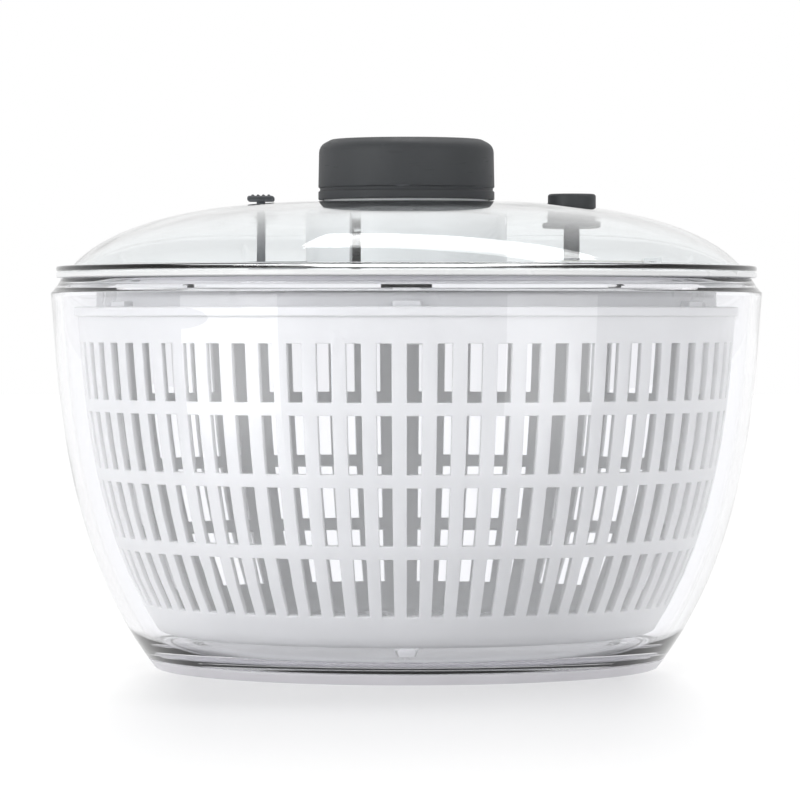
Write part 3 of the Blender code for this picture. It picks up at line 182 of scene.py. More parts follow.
def radius_at(points, height):
    """Radius of a falling curve at a height."""
    for (r_high, z_high), (r_low, z_low) in zip(points, points[1:]):
        if z_low <= height <= z_high:
            return r_low + (r_high - r_low) * (height - z_low) / (z_high - z_low)
    return min(points, key=lambda point: abs(point[1] - height))[0]


def bare(points):
    """Points of a curve as corners without fillets."""
    return [(r, z, None) for r, z in points]


def filleted(corners, closed=True, steps=4):
    """Corners (r, z, fillet) as a profile with its fillets drawn; a fillet of None leaves a point bare."""
    profile = []
    count = len(corners)
    for index, corner in enumerate(corners):
        here = Vector(corner[:2])
        radius = corner[2] if len(corner) > 2 else ROUND
        if radius is None or (not closed and index in (0, count - 1)):
            profile.append(tuple(here))
            continue
        before = Vector(corners[index - 1][:2]) - here
        after = Vector(corners[(index + 1) % count][:2]) - here
        opening = before.angle(after)
        if opening > STRAIGHT:
            profile.append(tuple(here))
            continue
        reach = min(radius / math.tan(opening / 2), 0.48 * before.length, 0.48 * after.length)
        radius = reach * math.tan(opening / 2)
        first, last = before.normalized() * reach, after.normalized() * reach
        middle = (first + last).normalized() * (radius / math.sin(opening / 2))
        for step in range(steps + 1):
            ray = (first - middle).slerp(last - middle, step / steps)
            profile.append(tuple(here + middle + ray.normalized() * radius))
    return profile


def bowl_wall(bowl, steps=48):
    """The bowl's outer line, from the ledge under the lip down to the table."""
    rim, foot = bowl.rim_radius / MM, bowl.foot_radius / MM
    ledge = (bowl.height - bowl.lip) / MM
    upper, lower = 0.19 * ledge, 0.42 * ledge
    draft, flare = math.radians(5.9), math.radians(38.6)
    return curve(
        (rim, ledge),
        (rim - upper * math.sin(draft), ledge - upper * math.cos(draft)),
        (foot + lower * math.sin(flare), lower * math.cos(flare)),
        (foot, 0),
        steps,
    )


# ---- Workshop ----
def select_only(*items):
    for item in bpy.context.selected_objects:
        item.select_set(False)
    for item in items:
        item.select_set(True)
    if items:
        bpy.context.view_layer.objects.active = items[0]


def name_piece(name):
    piece = bpy.context.object
    piece.name = piece.data.name = name
    return piece


def settle(piece):
    """Puts the object at the origin, with its place in its mesh."""
    select_only(piece)
    bpy.ops.object.transform_apply(location=True, rotation=True, scale=True)
    return piece


def smooth(piece, angle=38):
    select_only(piece)
    bpy.ops.object.shade_smooth_by_angle(angle=math.radians(angle))
    return piece


def edit(piece):
    """Opens a piece's mesh with all of it selected."""
    select_only(piece)
    bpy.ops.object.mode_set(mode="EDIT")
    bpy.ops.mesh.select_mode(type="VERT")
    bpy.ops.mesh.select_all(action="SELECT")


def close_edit(outwards=True):
    """Closes the open mesh, after turning its faces outwards."""
    if outwards:
        bpy.ops.mesh.select_all(action="SELECT")
        bpy.ops.mesh.normals_make_consistent(inside=False)
    bpy.ops.object.mode_set(mode="OBJECT")


def draw_profile(name, profile, closed):
    """Draws a profile in the XZ plane, one point extruded from corner to corner, and leaves it open."""
    select_only()
    (r, z) = profile[0]
    bpy.ops.mesh.primitive_plane_add(size=MM, location=(r * MM, 0, z * MM))
    piece = name_piece(name)
    edit(piece)
    bpy.ops.mesh.merge(type="CENTER")
    for (r0, z0), (r1, z1) in zip(profile, profile[1:]):
        step = ((r1 - r0) * MM, 0, (z1 - z0) * MM)
        bpy.ops.mesh.extrude_region_move(TRANSFORM_OT_translate={"value": step})
    if closed:
        mesh = bmesh.from_edit_mesh(piece.data)
        mesh.verts.ensure_lookup_table()
        mesh.verts[0].select = True
        bmesh.update_edit_mesh(piece.data)
        bpy.ops.mesh.edge_face_add()
    bpy.ops.mesh.select_all(action="SELECT")
    return piece


def spin(steps, angle):
    bpy.ops.mesh.spin(steps=steps, angle=angle, center=(0, 0, 0), axis=(0, 0, 1))


def lathe(name, corners, sides=FINE_SIDES, closed=True, steps=4):
    """A turned piece: its profile spun once round the axis."""
    piece = draw_profile(name, filleted(corners, closed, steps), closed)
    spin(sides, FULL_TURN)
    bpy.ops.mesh.select_all(action="SELECT")
    bpy.ops.mesh.remove_doubles(threshold=WELD)
    close_edit()
    return smooth(settle(piece))


def shift(piece, offset):
    piece.location = Vector(offset) * MM
    return settle(piece)


def turn(piece, angle):
    """Turns a piece's mesh about the spin axis."""
    piece.data.transform(Matrix.Rotation(angle, 4, "Z"))
    return piece


def clone(piece):
    item = piece.copy()
    item.data = piece.data.copy()
    bpy.context.scene.collection.objects.link(item)
    return item


def slab(name, low, high, rounding=0.6, segments=3):
    """A block with rounded edges."""
    low, high = Vector(low), Vector(high)
    select_only()
    bpy.ops.mesh.primitive_cube_add(size=1, location=(low + high) / 2 * MM)
    piece = name_piece(name)
    piece.scale = (high - low) * MM
    settle(piece)
    if rounding:
        edit(piece)
        bpy.ops.mesh.bevel(offset=rounding * MM, segments=segments, affect="EDGES")
        close_edit(outwards=False)
    return smooth(piece)


def bar(name, radius, start, end, sides=32, rounding=0.25):
    """A round bar between two points, its ends rounded."""
    start, end = Vector(start), Vector(end)
    way = end - start
    select_only()
    bpy.ops.mesh.primitive_cylinder_add(
        vertices=sides,
        radius=radius * MM,
        depth=way.length * MM,
        location=(start + end) / 2 * MM,
        rotation=way.to_track_quat("Z", "Y").to_euler(),
    )
    piece = name_piece(name)
    if rounding:
        add_modifier(piece, "BEVEL", width=rounding * MM, segments=2, limit_method="ANGLE")
    return smooth(settle(piece))


def add_modifier(piece, kind, **values):
    """A modifier, set and applied at once."""
    select_only(piece)
    step = piece.modifiers.new(kind.title(), kind)
    for key, value in values.items():
        setattr(step, key, value)
    bpy.ops.object.modifier_apply(modifier=step.name)
    return piece


def copies(piece, count, first=0.0, skip=()):
    """The piece turned about the axis to each of its places, as one object."""
    places = [index for index in range(count) if index not in skip]
    made = [turn(clone(piece), first + FULL_TURN * index / count) for index in places]
    name = piece.name
    bpy.data.objects.remove(piece)
    join(*made)
    return name_piece(name)


def join(first, *others):
    select_only(first, *others)
    bpy.ops.object.join()
    return first


def cut(piece, *cutters):
    for cutter in cutters:
        add_modifier(piece, "BOOLEAN", operation="DIFFERENCE", solver="EXACT", object=cutter)
        bpy.data.objects.remove(cutter)
    return smooth(piece)


def coil(name, x, radius, wire, bottom, top, turns):
    """A helical spring of round wire, upright at x."""
    select_only()
    place = Vector((radius, 0, bottom + wire / 2)) * MM
    bpy.ops.mesh.primitive_circle_add(
        vertices=WIRE_SIDES, radius=wire / 2 * MM, location=place, rotation=(math.pi / 2, 0, 0)
    )
    piece = settle(name_piece(name))
    add_modifier(
        piece,
        "SCREW",
        angle=FULL_TURN * turns,
        screw_offset=(top - bottom - wire) * MM,
        steps=COIL_STEPS * turns,
        render_steps=COIL_STEPS * turns,
        use_merge_vertices=False,
    )
    edit(piece)
    bpy.ops.mesh.fill_holes(sides=WIRE_SIDES)
    close_edit()
    return smooth(shift(piece, (x, 0, 0)), 60)


# ---- Surface effects ----
def feed(tree, item, inputs):
    """Sets a node's inputs, each from a plain value or from another node's output."""
    for key, value in inputs.items():
        if isinstance(value, bpy.types.NodeSocket):
            tree.links.new(value, item.inputs[key])
        else:
            item.inputs[key].default_value = value


def put(tree, kind, inputs=None, **settings):
    """Adds a node, with its settings and its inputs."""
    item = tree.nodes.new(kind)
    for key, value in settings.items():
        setattr(item, key, value)
    feed(tree, item, inputs or {})
    return item


def reckon(tree, operation, *values):
    """The result of a sum on one to three numbers or outputs."""
    return put(tree, "ShaderNodeMath", dict(enumerate(values)), operation=operation).outputs[0]


def noise(tree, vector, scale, detail, rough=0.5, twist=0.0):
    inputs = {"Vector": vector, "Scale": scale, "Detail": detail, "Roughness": rough, "Distortion": twist}
    return put(tree, "ShaderNodeTexNoise", inputs).outputs["Fac"]


def fit(tree, value, start=0.0, end=1.0, low=0.0, high=1.0, shape="LINEAR"):
    """A value between start and end, stretched to lie between low and high."""
    inputs = {"Value": value, "From Min": start, "From Max": end, "To Min": low, "To Max": high}
    return put(tree, "ShaderNodeMapRange", inputs, interpolation_type=shape).outputs["Result"]


def opaque(tint):
    return tint if isinstance(tint, bpy.types.NodeSocket) else (*tint, 1)


def tinted(tree, mask, plain, marked):
    """A colour that goes from plain to marked with the mask."""
    inputs = {"Factor": mask, "A": opaque(plain), "B": opaque(marked)}
    return put(tree, "ShaderNodeMix", inputs, data_type="RGBA").outputs["Result"]


def scaled(tint, factor):
    return tuple(min(channel * factor, 1.0) for channel in tint)


def distance_from_axis(tree, place):
    return put(tree, "ShaderNodeVectorMath", {0: place}, operation="LENGTH").outputs["Value"]


def new_effect(name, inputs, outputs):
    """A node group with a vector input, named number inputs and named number outputs."""
    tree = bpy.data.node_groups.new(name, "ShaderNodeTree")
    tree.interface.new_socket("Vector", in_out="INPUT", socket_type="NodeSocketVector")
    for key, default in inputs.items():
        socket = tree.interface.new_socket(key, in_out="INPUT", socket_type="NodeSocketFloat")
        socket.default_value = default
    for key in outputs:
        tree.interface.new_socket(key, in_out="OUTPUT", socket_type="NodeSocketFloat")
    return tree, put(tree, "NodeGroupInput").outputs, put(tree, "NodeGroupOutput")


def moulded_grain():
    """Fine pebble of a spark-eroded mould, with a slow unevenness under it."""
    inputs = {"Pebble Scale": 2600.0, "Flow Scale": 35.0}
    tree, take, give = new_effect("moulded_grain", inputs, ("Height", "Mottle"))
    pebble = noise(tree, take["Vector"], take["Pebble Scale"], 2.0, 0.55)
    flow = noise(tree, take["Vector"], take["Flow Scale"], 3.0, 0.5, 0.4)
    height = reckon(tree, "ADD", reckon(tree, "MULTIPLY", pebble, 0.85), flow)
    feed(tree, give, {"Height": height, "Mottle": flow})
    return tree


def handling_marks():
    """Smears and hairline scratches that only show in the gloss."""
    inputs = {"Smear Scale": 14.0, "Scratch Scale": 90.0}
    tree, take, give = new_effect("handling_marks", inputs, ("Smears", "Scratches"))
    smear = noise(tree, take["Vector"], take["Smear Scale"], 5.0, 0.62, 1.2)
    drawn_out = {"Vector": take["Vector"], "Rotation": (0.6, 0.4, 0.9), "Scale": (1, 1, 9)}
    tilt = put(tree, "ShaderNodeMapping", drawn_out).outputs["Vector"]
    hair = noise(tree, tilt, take["Scratch Scale"], 1.0, 0.4, 0.2)
    smears = fit(tree, smear, 0.45, 0.8, shape="SMOOTHSTEP")
    feed(tree, give, {"Smears": smears, "Scratches": fit(tree, hair, 0.70, 0.74)})
    return tree


def worn_edges():
    """A mask of the edges that hands polish, broken up by noise."""
    tree, take, give = new_effect("worn_edges", {"Break Scale": 160.0, "Reach": 0.53}, ("Edge",))
    edge = put(tree, "ShaderNodeNewGeometry").outputs["Pointiness"]
    broken = noise(tree, take["Vector"], take["Break Scale"], 3.0)
    uneven = reckon(tree, "ADD", edge, reckon(tree, "MULTIPLY_ADD", broken, 0.06, -0.03))
    limit = reckon(tree, "ADD", take["Reach"], 0.05)
    feed(tree, give, {"Edge": fit(tree, uneven, take["Reach"], limit)})
    return tree


def brushed_wire():
    """Drawing lines of bright wire and turned steel."""
    tree, take, give = new_effect("brushed_wire", {"Line Scale": 900.0}, ("Lines",))
    flat = put(tree, "ShaderNodeMapping", {"Vector": take["Vector"], "Scale": (1, 1, 0.06)})
    feed(tree, give, {"Lines": noise(tree, flat.outputs["Vector"], take["Line Scale"], 2.0)})
    return tree


def effect(tree, make, vector, **values):
    """Places an effect's group, made when it is first asked for, and gives its outputs."""
    group = bpy.data.node_groups.get(make.__name__) or make()
    inputs = {key.replace("_", " "): value for key, value in values.items()}
    return put(tree, "ShaderNodeGroup", {"Vector": vector, **inputs}, node_tree=group).outputs


# ---- Materials ----
def blank(name):
    """A plain material: its tree, its Principled shader and its object coordinates."""
    material = bpy.data.materials.new(name)
    material.use_nodes = True
    tree = material.node_tree
    shader = tree.nodes["Principled BSDF"]
    return material, tree, shader, put(tree, "ShaderNodeTexCoord").outputs["Object"]


def bumped(tree, shader, height, distance, strength=0.4):
    inputs = {"Strength": strength, "Distance": distance * MM, "Height": height}
    feed(tree, shader, {"Normal": put(tree, "ShaderNodeBump", inputs).outputs["Normal"]})


def clear_finish(name, tint, index, smear, ripple, ripple_scale):
    """Glass or clear plastic that lets lamplight through to what is behind it."""
    material, tree, shader, place = blank(name)
    marks = effect(tree, handling_marks, place, Smear_Scale=12.0, Scratch_Scale=60.0)
    gloss = fit(tree, marks["Smears"], low=0.0, high=smear)
    feed(tree, shader, {"Base Color": opaque(tint), "Transmission Weight": 1.0, "Roughness": gloss})
    feed(tree, shader, {"IOR": index})
    bumped(tree, shader, noise(tree, place, ripple_scale, 1.0), ripple, 0.5)
    clear = put(tree, "ShaderNodeBsdfTransparent", {"Color": opaque(scaled(tint, 0.97))})
    shadow = put(tree, "ShaderNodeLightPath").outputs["Is Shadow Ray"]
    mix = put(tree, "ShaderNodeMixShader", {0: shadow, 1: shader.outputs[0], 2: clear.outputs[0]})
    feed(tree, tree.nodes["Material Output"], {"Surface": mix.outputs[0]})
    return material


def plastic_finish(name, tint, rough, grain, pebble=2600.0, depth=0.0, edge=None):
    """Moulded plastic: grain, slow mottle, smears, and edges that hands have polished."""
    material, tree, shader, place = blank(name)
    mould = effect(tree, moulded_grain, place, Pebble_Scale=pebble)
    marks = effect(tree, handling_marks, place, Smear_Scale=22.0, Scratch_Scale=120.0)
    coat = tinted(tree, mould["Mottle"], scaled(tint, 0.965), scaled(tint, 1.03))
    if edge:
        coat = tinted(tree, effect(tree, worn_edges, place)["Edge"], coat, edge)
    smears = fit(tree, marks["Smears"], low=rough, high=rough * 0.72)
    hairs = fit(tree, marks["Scratches"], low=0.0, high=0.12)
    gloss = reckon(tree, "ADD", smears, hairs)
    feed(tree, shader, {"Base Color": coat, "Roughness": gloss, "IOR": 1.49})
    if depth:
        soften(tree, shader, depth, 0.004, 0.5)
    bumped(tree, shader, mould["Height"], grain)
    return material


def soften(tree, shader, weight, radius, scale):
    """Lets light a little way into a white or clear plastic."""
    inputs = {"Weight": weight, "Radius": (radius,) * 3, "Scale": scale}
    feed(tree, shader, {"Subsurface " + key: value for key, value in inputs.items()})


def silicone_finish(name, tint):
    """Clear rubber, a little cloudy."""
    material, tree, shader, place = blank(name)
    mould = effect(tree, moulded_grain, place, Pebble_Scale=900.0, Flow_Scale=60.0)
    coat = tinted(tree, mould["Mottle"], scaled(tint, 0.94), scaled(tint, 1.04))
    gloss = fit(tree, mould["Mottle"], low=0.38, high=0.5)
    feed(tree, shader, {"Base Color": coat, "Roughness": gloss, "Transmission Weight": 0.25, "IOR": 1.41})
    soften(tree, shader, 0.3, 0.003, 1.0)
    bumped(tree, shader, mould["Height"], 0.03)
    return material


def steel_finish(name, tint):
    """Drawn wire and turned steel."""
    material, tree, shader, place = blank(name)
    lines = effect(tree, brushed_wire, place)["Lines"]
    coat = tinted(tree, lines, scaled(tint, 0.82), scaled(tint, 1.12))
    gloss = fit(tree, lines, low=0.18, high=0.36)
    feed(tree, shader, {"Base Color": coat, "Roughness": gloss, "Metallic": 1.0})
    bumped(tree, shader, lines, 0.02)
    return material


def make_finish(slot):
    """The material of one of the record's slots, made when it is first asked for."""
    name = slot + "_finish"
    if name in bpy.data.materials:
        return bpy.data.materials[name]
    scene = bpy.context.scene
    bowl, basket, lid = scene.spinner_bowl, scene.spinner_basket, scene.spinner_lid
    maker, *values = {
        "clear_glass": (clear_finish, bowl.glass, 1.5, 0.035, 0.12, 24.0),
        "clear_plastic": (clear_finish, lid.cover, 1.49, 0.09, 0.08, 40.0),
        "clear_silicone": (silicone_finish, bowl.silicone),
        "white_basket_plastic": (plastic_finish, basket.plastic, 0.36, 0.025, 2600.0, 0.25),
        "white_lid_plastic": (plastic_finish, lid.plastic, 0.30, 0.02, 2600.0, 0.1),
        "charcoal_soft_plastic": (plastic_finish, lid.knob, 0.62, 0.05, 1500.0, 0.0, scaled(lid.knob, 2.4)),
        "natural_acetal": (plastic_finish, lid.acetal, 0.42, 0.02, 2600.0, 0.15),
        "spring_steel": (steel_finish, lid.steel),
        "brake_rubber": (plastic_finish, lid.rubber, 0.85, 0.08, 1200.0),
    }[slot]
    return maker(name, *values)


def finish_piece(piece, body, slot, *nodes):
    """Paints a piece, ties it to its body, and hides the CAD nodes it stands for."""
    piece.data.materials.clear()
    piece.data.materials.append(make_finish(slot))
    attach(piece, body)
    if nodes:
        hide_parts(*nodes)
    return piece


def dress_nodes():
    """Every CAD node that still shows gets the full material of its slot."""
    slots = {part["node"]: part["material_slot"] for part in frame["record"]["subparts"]}
    for node, item in frame["nodes"].items():
        item.data.materials.clear()
        item.data.materials.append(make_finish(slots[node]))


# ---- Bowl ----
class SPINNER_OT_bowl(Operator):
    """Turn the glass bowl and the rubber ring in its foot"""

    bl_idname = "spinner.bowl"
    bl_label = "Glass Bowl"

    def execute(self, context):
        bowl = context.scene.spinner_bowl
        wall = bowl_wall(bowl)
        floor, thick, top = bowl.floor / MM, bowl.wall / MM, bowl.height / MM
        ledge, rim = wall[0][1], wall[0][0]
        bottom, band, sole = BOWL_LOW.z, RING_HIGH.z, BOWL_LOW.z - SEAT_GAP
        inside = [point for point in beside(wall, thick) if point[1] > floor + 6]
        corner = radius_at(beside(wall, thick), floor) - 1.0
        bore = rim - 5.4
        foot = wall[-1][0]
        seat, inner = foot - 4.5, foot - 10.1
        corners = [
            (0, 16.4, None), (1.3, 16.35, None), (2.4, 15.9, None), (3.2, 14.8, None), (4.2, 11.8, None),
            (5.2, 9.0, None), (6.6, floor + 0.4, None), (9.0, floor, 1.5), (corner, floor, 9.0),
            *bare(reversed(inside)), (bore, ledge + 2.4, 1.2), (bore, top, 0.9), (rim - 3.9, top, 1.1),
            (rim - 2.4, ledge + 2.7, 3.0), (rim - 0.8, ledge + 0.55, 0.35), (rim, ledge + 0.1, 0.45),
            *bare(point for point in wall[1:] if point[1] > band + 1.5),
            (radius_at(wall, band + SEAT_GAP), band + SEAT_GAP, 0.5), (seat, band + SEAT_GAP, 0.3),
            (seat, bottom, 0.8), (inner - 3.0, bottom, 1.0), (inner - 7.0, bottom + 1.5, 2.0),
            (0, bottom + 1.5, None),
        ]
        piece = lathe("glass_bowl", corners)
        finish_piece(piece, "bowl", "clear_glass", "bowl")
        ring = [
            (foot, 0, 0.35), *bare(point for point in reversed(wall) if 0.8 < point[1] < band - 0.8),
            (radius_at(wall, band), band, 0.35), (seat + SEAT_GAP, band, 0.3),
            (seat + SEAT_GAP, sole, 0.3), (inner, sole, 0.3), (inner, 0, 0.5), (inner + 2.0, 0, 0.15),
            (inner + 2.6, 0.45, 0.25), (foot - 3.6, 0.45, 0.25), (foot - 3.0, 0, 0.15),
        ]
        piece = lathe("foot_ring", ring)
        finish_piece(piece, "bowl", "clear_silicone", "non_slip_ring")
        return {"FINISHED"}


# ---- Basket ----
class SPINNER_OT_basket(Operator):
    """Mould the slotted basket, its rim and the keys that the turntable grips"""

    bl_idname = "spinner.basket"
    bl_label = "Basket"

    def execute(self, context):
        bowl, basket = context.scene.spinner_bowl, context.scene.spinner_basket
        outer = beside(bowl_wall(bowl), (bowl.wall + basket.clearance) / MM)
        thick, count = basket.wall / MM, basket.slots
        low, top = BASKET_LOW.z, BASKET_HIGH.z
        inner_edge = radius_at(outer, low + 6) - 11
        rows = [(3.0, 17.1), (5.6, 16.5), (8.6, low + 0.6), (12.5, low), (17.5, low)]
        open_rows = set()
        for start, end in ((19.0, 38.0), (46.0, 82.0)):
            rows.append((start, low))
            open_rows.add(len(rows) - 1)
            rows.append((end, low))
        rows += [(inner_edge + 2.5, low), (inner_edge + 5.4, low + 0.5), (inner_edge + 8.6, low + 2.0)]
        heights = [low + 5.5, low + 8.5]
        first, last, tiers, bridge = low + 12.0, top - 13.0, 4, 4.6
        tier = (last - first - (tiers - 1) * bridge) / tiers
        for index in range(tiers):
            start = first + index * (tier + bridge)
            open_rows.add(len(rows) + len(heights))
            heights += [start, start + tier / 2, start + tier]
            open_rows.add(len(rows) + len(heights) - 2)
        heights += [top - 3.4, top]
        rows += [(radius_at(outer, z), z) for z in heights]
        pitch = FULL_TURN / count
        piece = draw_profile("basket_shell", rows, closed=False)
        spin(2, pitch)
        bpy.ops.mesh.select_mode(type="FACE")
        bpy.ops.mesh.select_all(action="DESELECT")
        self.pick_slots(piece, rows, open_rows, pitch)
        bpy.ops.mesh.delete(type="FACE")
        close_edit(outwards=False)
        piece = copies(settle(piece), count)
        self.close_shell(piece)
        add_modifier(piece, "SOLIDIFY", thickness=thick * MM, offset=-1, use_even_offset=True)
        add_modifier(
            piece,
            "BEVEL",
            width=0.32 * MM,
            segments=2,
            limit_method="ANGLE",
            angle_limit=math.radians(50),
            use_clamp_overlap=True,
        )
        finish_piece(smooth(piece, 45), "basket", "white_basket_plastic", "basket")
        self.rim(outer, thick, top)
        return {"FINISHED"}

    def pick_slots(self, piece, rows, open_rows, pitch):
        """Selects the second column's faces in the rows that are open."""
        mesh = bmesh.from_edit_mesh(piece.data)
        place = piece.matrix_world
        bands = [(rows[index], rows[index + 1]) for index in open_rows]
        for face in mesh.faces:
            at = place @ face.calc_center_median()
            turn, reach = math.atan2(at.y, at.x), Vector((at.x, at.y)).length / MM
            height = at.z / MM
            in_column = abs(turn) > pitch / 2
            for (r0, z0), (r1, z1) in bands:
                on_wall = abs(z1 - z0) > 1 and z0 < height < z1
                on_floor = abs(z1 - z0) < 1 and r0 < reach < r1 and height < z0 + 1
                if in_column and (on_wall or on_floor):
                    face.select = True
        bmesh.update_edit_mesh(piece.data)

    def close_shell(self, piece):
        """Welds the copies, closes the crown over the pivot, and turns every face outwards."""
        edit(piece)
        bpy.ops.mesh.remove_doubles(threshold=10 * WELD)
        bpy.ops.mesh.select_all(action="DESELECT")
        mesh = bmesh.from_edit_mesh(piece.data)
        for edge in mesh.edges:
            near = all(Vector(vert.co[:2]).length < 3.2 * MM for vert in edge.verts)
            edge.select = near and edge.is_boundary
        bmesh.update_edit_mesh(piece.data)
        bpy.ops.mesh.extrude_region_move(TRANSFORM_OT_translate={"value": (0, 0, 0.15 * MM)})
        bpy.ops.mesh.merge(type="CENTER")
        bpy.ops.mesh.select_all(action="SELECT")
        bpy.ops.mesh.normals_make_consistent(inside=False)
        mesh = bmesh.from_edit_mesh(piece.data)
        mesh.faces.ensure_lookup_table()
        wall = max(mesh.faces, key=lambda face: face.calc_center_median().z)
        middle = wall.calc_center_median()
        if wall.normal.dot(Vector((middle.x, middle.y, 0))) < 0:
            bpy.ops.mesh.flip_normals()
        close_edit(outwards=False)

    def rim(self, outer, thick, top):
        edge = radius_at(outer, top - 3.5)
        corners = [
            (edge - 0.4, top - 3.5, 0.2), (BASKET_HIGH.x, top - 3.5, 0.7), (BASKET_HIGH.x, top, 0.9),
            (edge - 0.4, top, 0.2),
        ]
        bead = lathe("basket_rim_bead", corners)
        finish_piece(bead, "basket", "white_basket_plastic")
        bore = edge - thick
        low, high = (bore - 3.0, -2.6, top - 8), (bore + 0.6, 2.6, top - 0.6)
        key = slab("basket_keys", low, high, 0.5, 2)
        beside_lug = math.radians(5.75)
        second = turn(clone(key), FIRST_LUG + beside_lug)
        keys = copies(join(turn(key, FIRST_LUG - beside_lug), second), LUGS)
        finish_piece(smooth(keys), "basket", "white_basket_plastic")


# ---- Turntable ----
class SPINNER_OT_turntable(Operator):
    """Mould the turntable, its lugs and the cup under it"""

    bl_idname = "spinner.turntable"
    bl_label = "Turntable"

    def execute(self, context):
        skirt, bore = 116.04, 5.2
        top, bottom, low = TABLE_HIGH.z, TABLE_HIGH.z - 2.0, TABLE_LOW.z
        corners = [
            (bore, top), (skirt - 11, top, 4.0), (skirt - 7.5, top - 0.7, 2.0),
            (skirt - 4.5, top - 0.7, 2.0), (skirt - 3.0, top, 1.0), (skirt, top, 1.6), (skirt, low, 0.5),
            (skirt - 2.0, low, 0.5), (skirt - 2.0, bottom, 1.2), (bore, bottom),
        ]
        plate = lathe("turntable_plate", corners)
        finish_piece(plate, "turntable", "white_lid_plastic", "turntable")
        lug = slab("turntable_lugs", (skirt - 1.2, -5.1, low + 1), (119.54, 5.1, top - 2.4), 0.7)
        lugs = copies(lug, LUGS, FIRST_LUG)
        finish_piece(smooth(lugs), "turntable", "white_lid_plastic")
        start, end = (16.5, -0.8, bottom - 3.2), (skirt - 1.6, 0.8, bottom + 0.2)
        rib = slab("turntable_ribs", start, end, 0.3, 2)
        ribs = copies(rib, 2 * LUGS, FIRST_LUG / 2)
        finish_piece(smooth(ribs), "turntable", "white_lid_plastic")
        rim = WELL_HIGH.x
        cup = [
            (0, WELL_LOW.z + 2.0, None), (5.2, WELL_LOW.z + 2.0, 1.0), (5.8, WELL_HIGH.z - 6.0, 0.6),
            (10.6, WELL_HIGH.z - 3.6, 0.6), (10.6, WELL_HIGH.z), (rim, WELL_HIGH.z, 0.6),
            (rim - 0.6, WELL_HIGH.z - 3.2, 2.2), (9.6, WELL_HIGH.z - 7.6, 3.0), (7.4, WELL_LOW.z, 2.6),
            (0, WELL_LOW.z, None),
        ]
        piece = lathe("hub_cup", cup, sides=64)
        finish_piece(piece, "turntable", "white_lid_plastic", "hub_cap")
        return {"FINISHED"}


# ---- Lid ----
def dome(outer_edge, steps=40):
    """The cover's outer surface, from its flat edge up to the crown."""
    start = (outer_edge - 6.0, COVER_LOW.z + 2.0)
    end = (39.8, COVER_HIGH.z)
    return curve(
        start,
        (start[0] - 11.0, start[1] + 13.2),
        (min(end[0] + 44.0, start[0] - 22.0), end[1]),
        end,
        steps,
    )


def dome_height(radius):
    """Outer height of the cover at a radius."""
    points = dome(COVER_HIGH.x)
    for (r_out, z_low), (r_in, z_high) in zip(points, points[1:]):
        if r_in <= radius <= r_out:
            return z_low + (z_high - z_low) * (r_out - radius) / (r_out - r_in)
    return COVER_HIGH.z


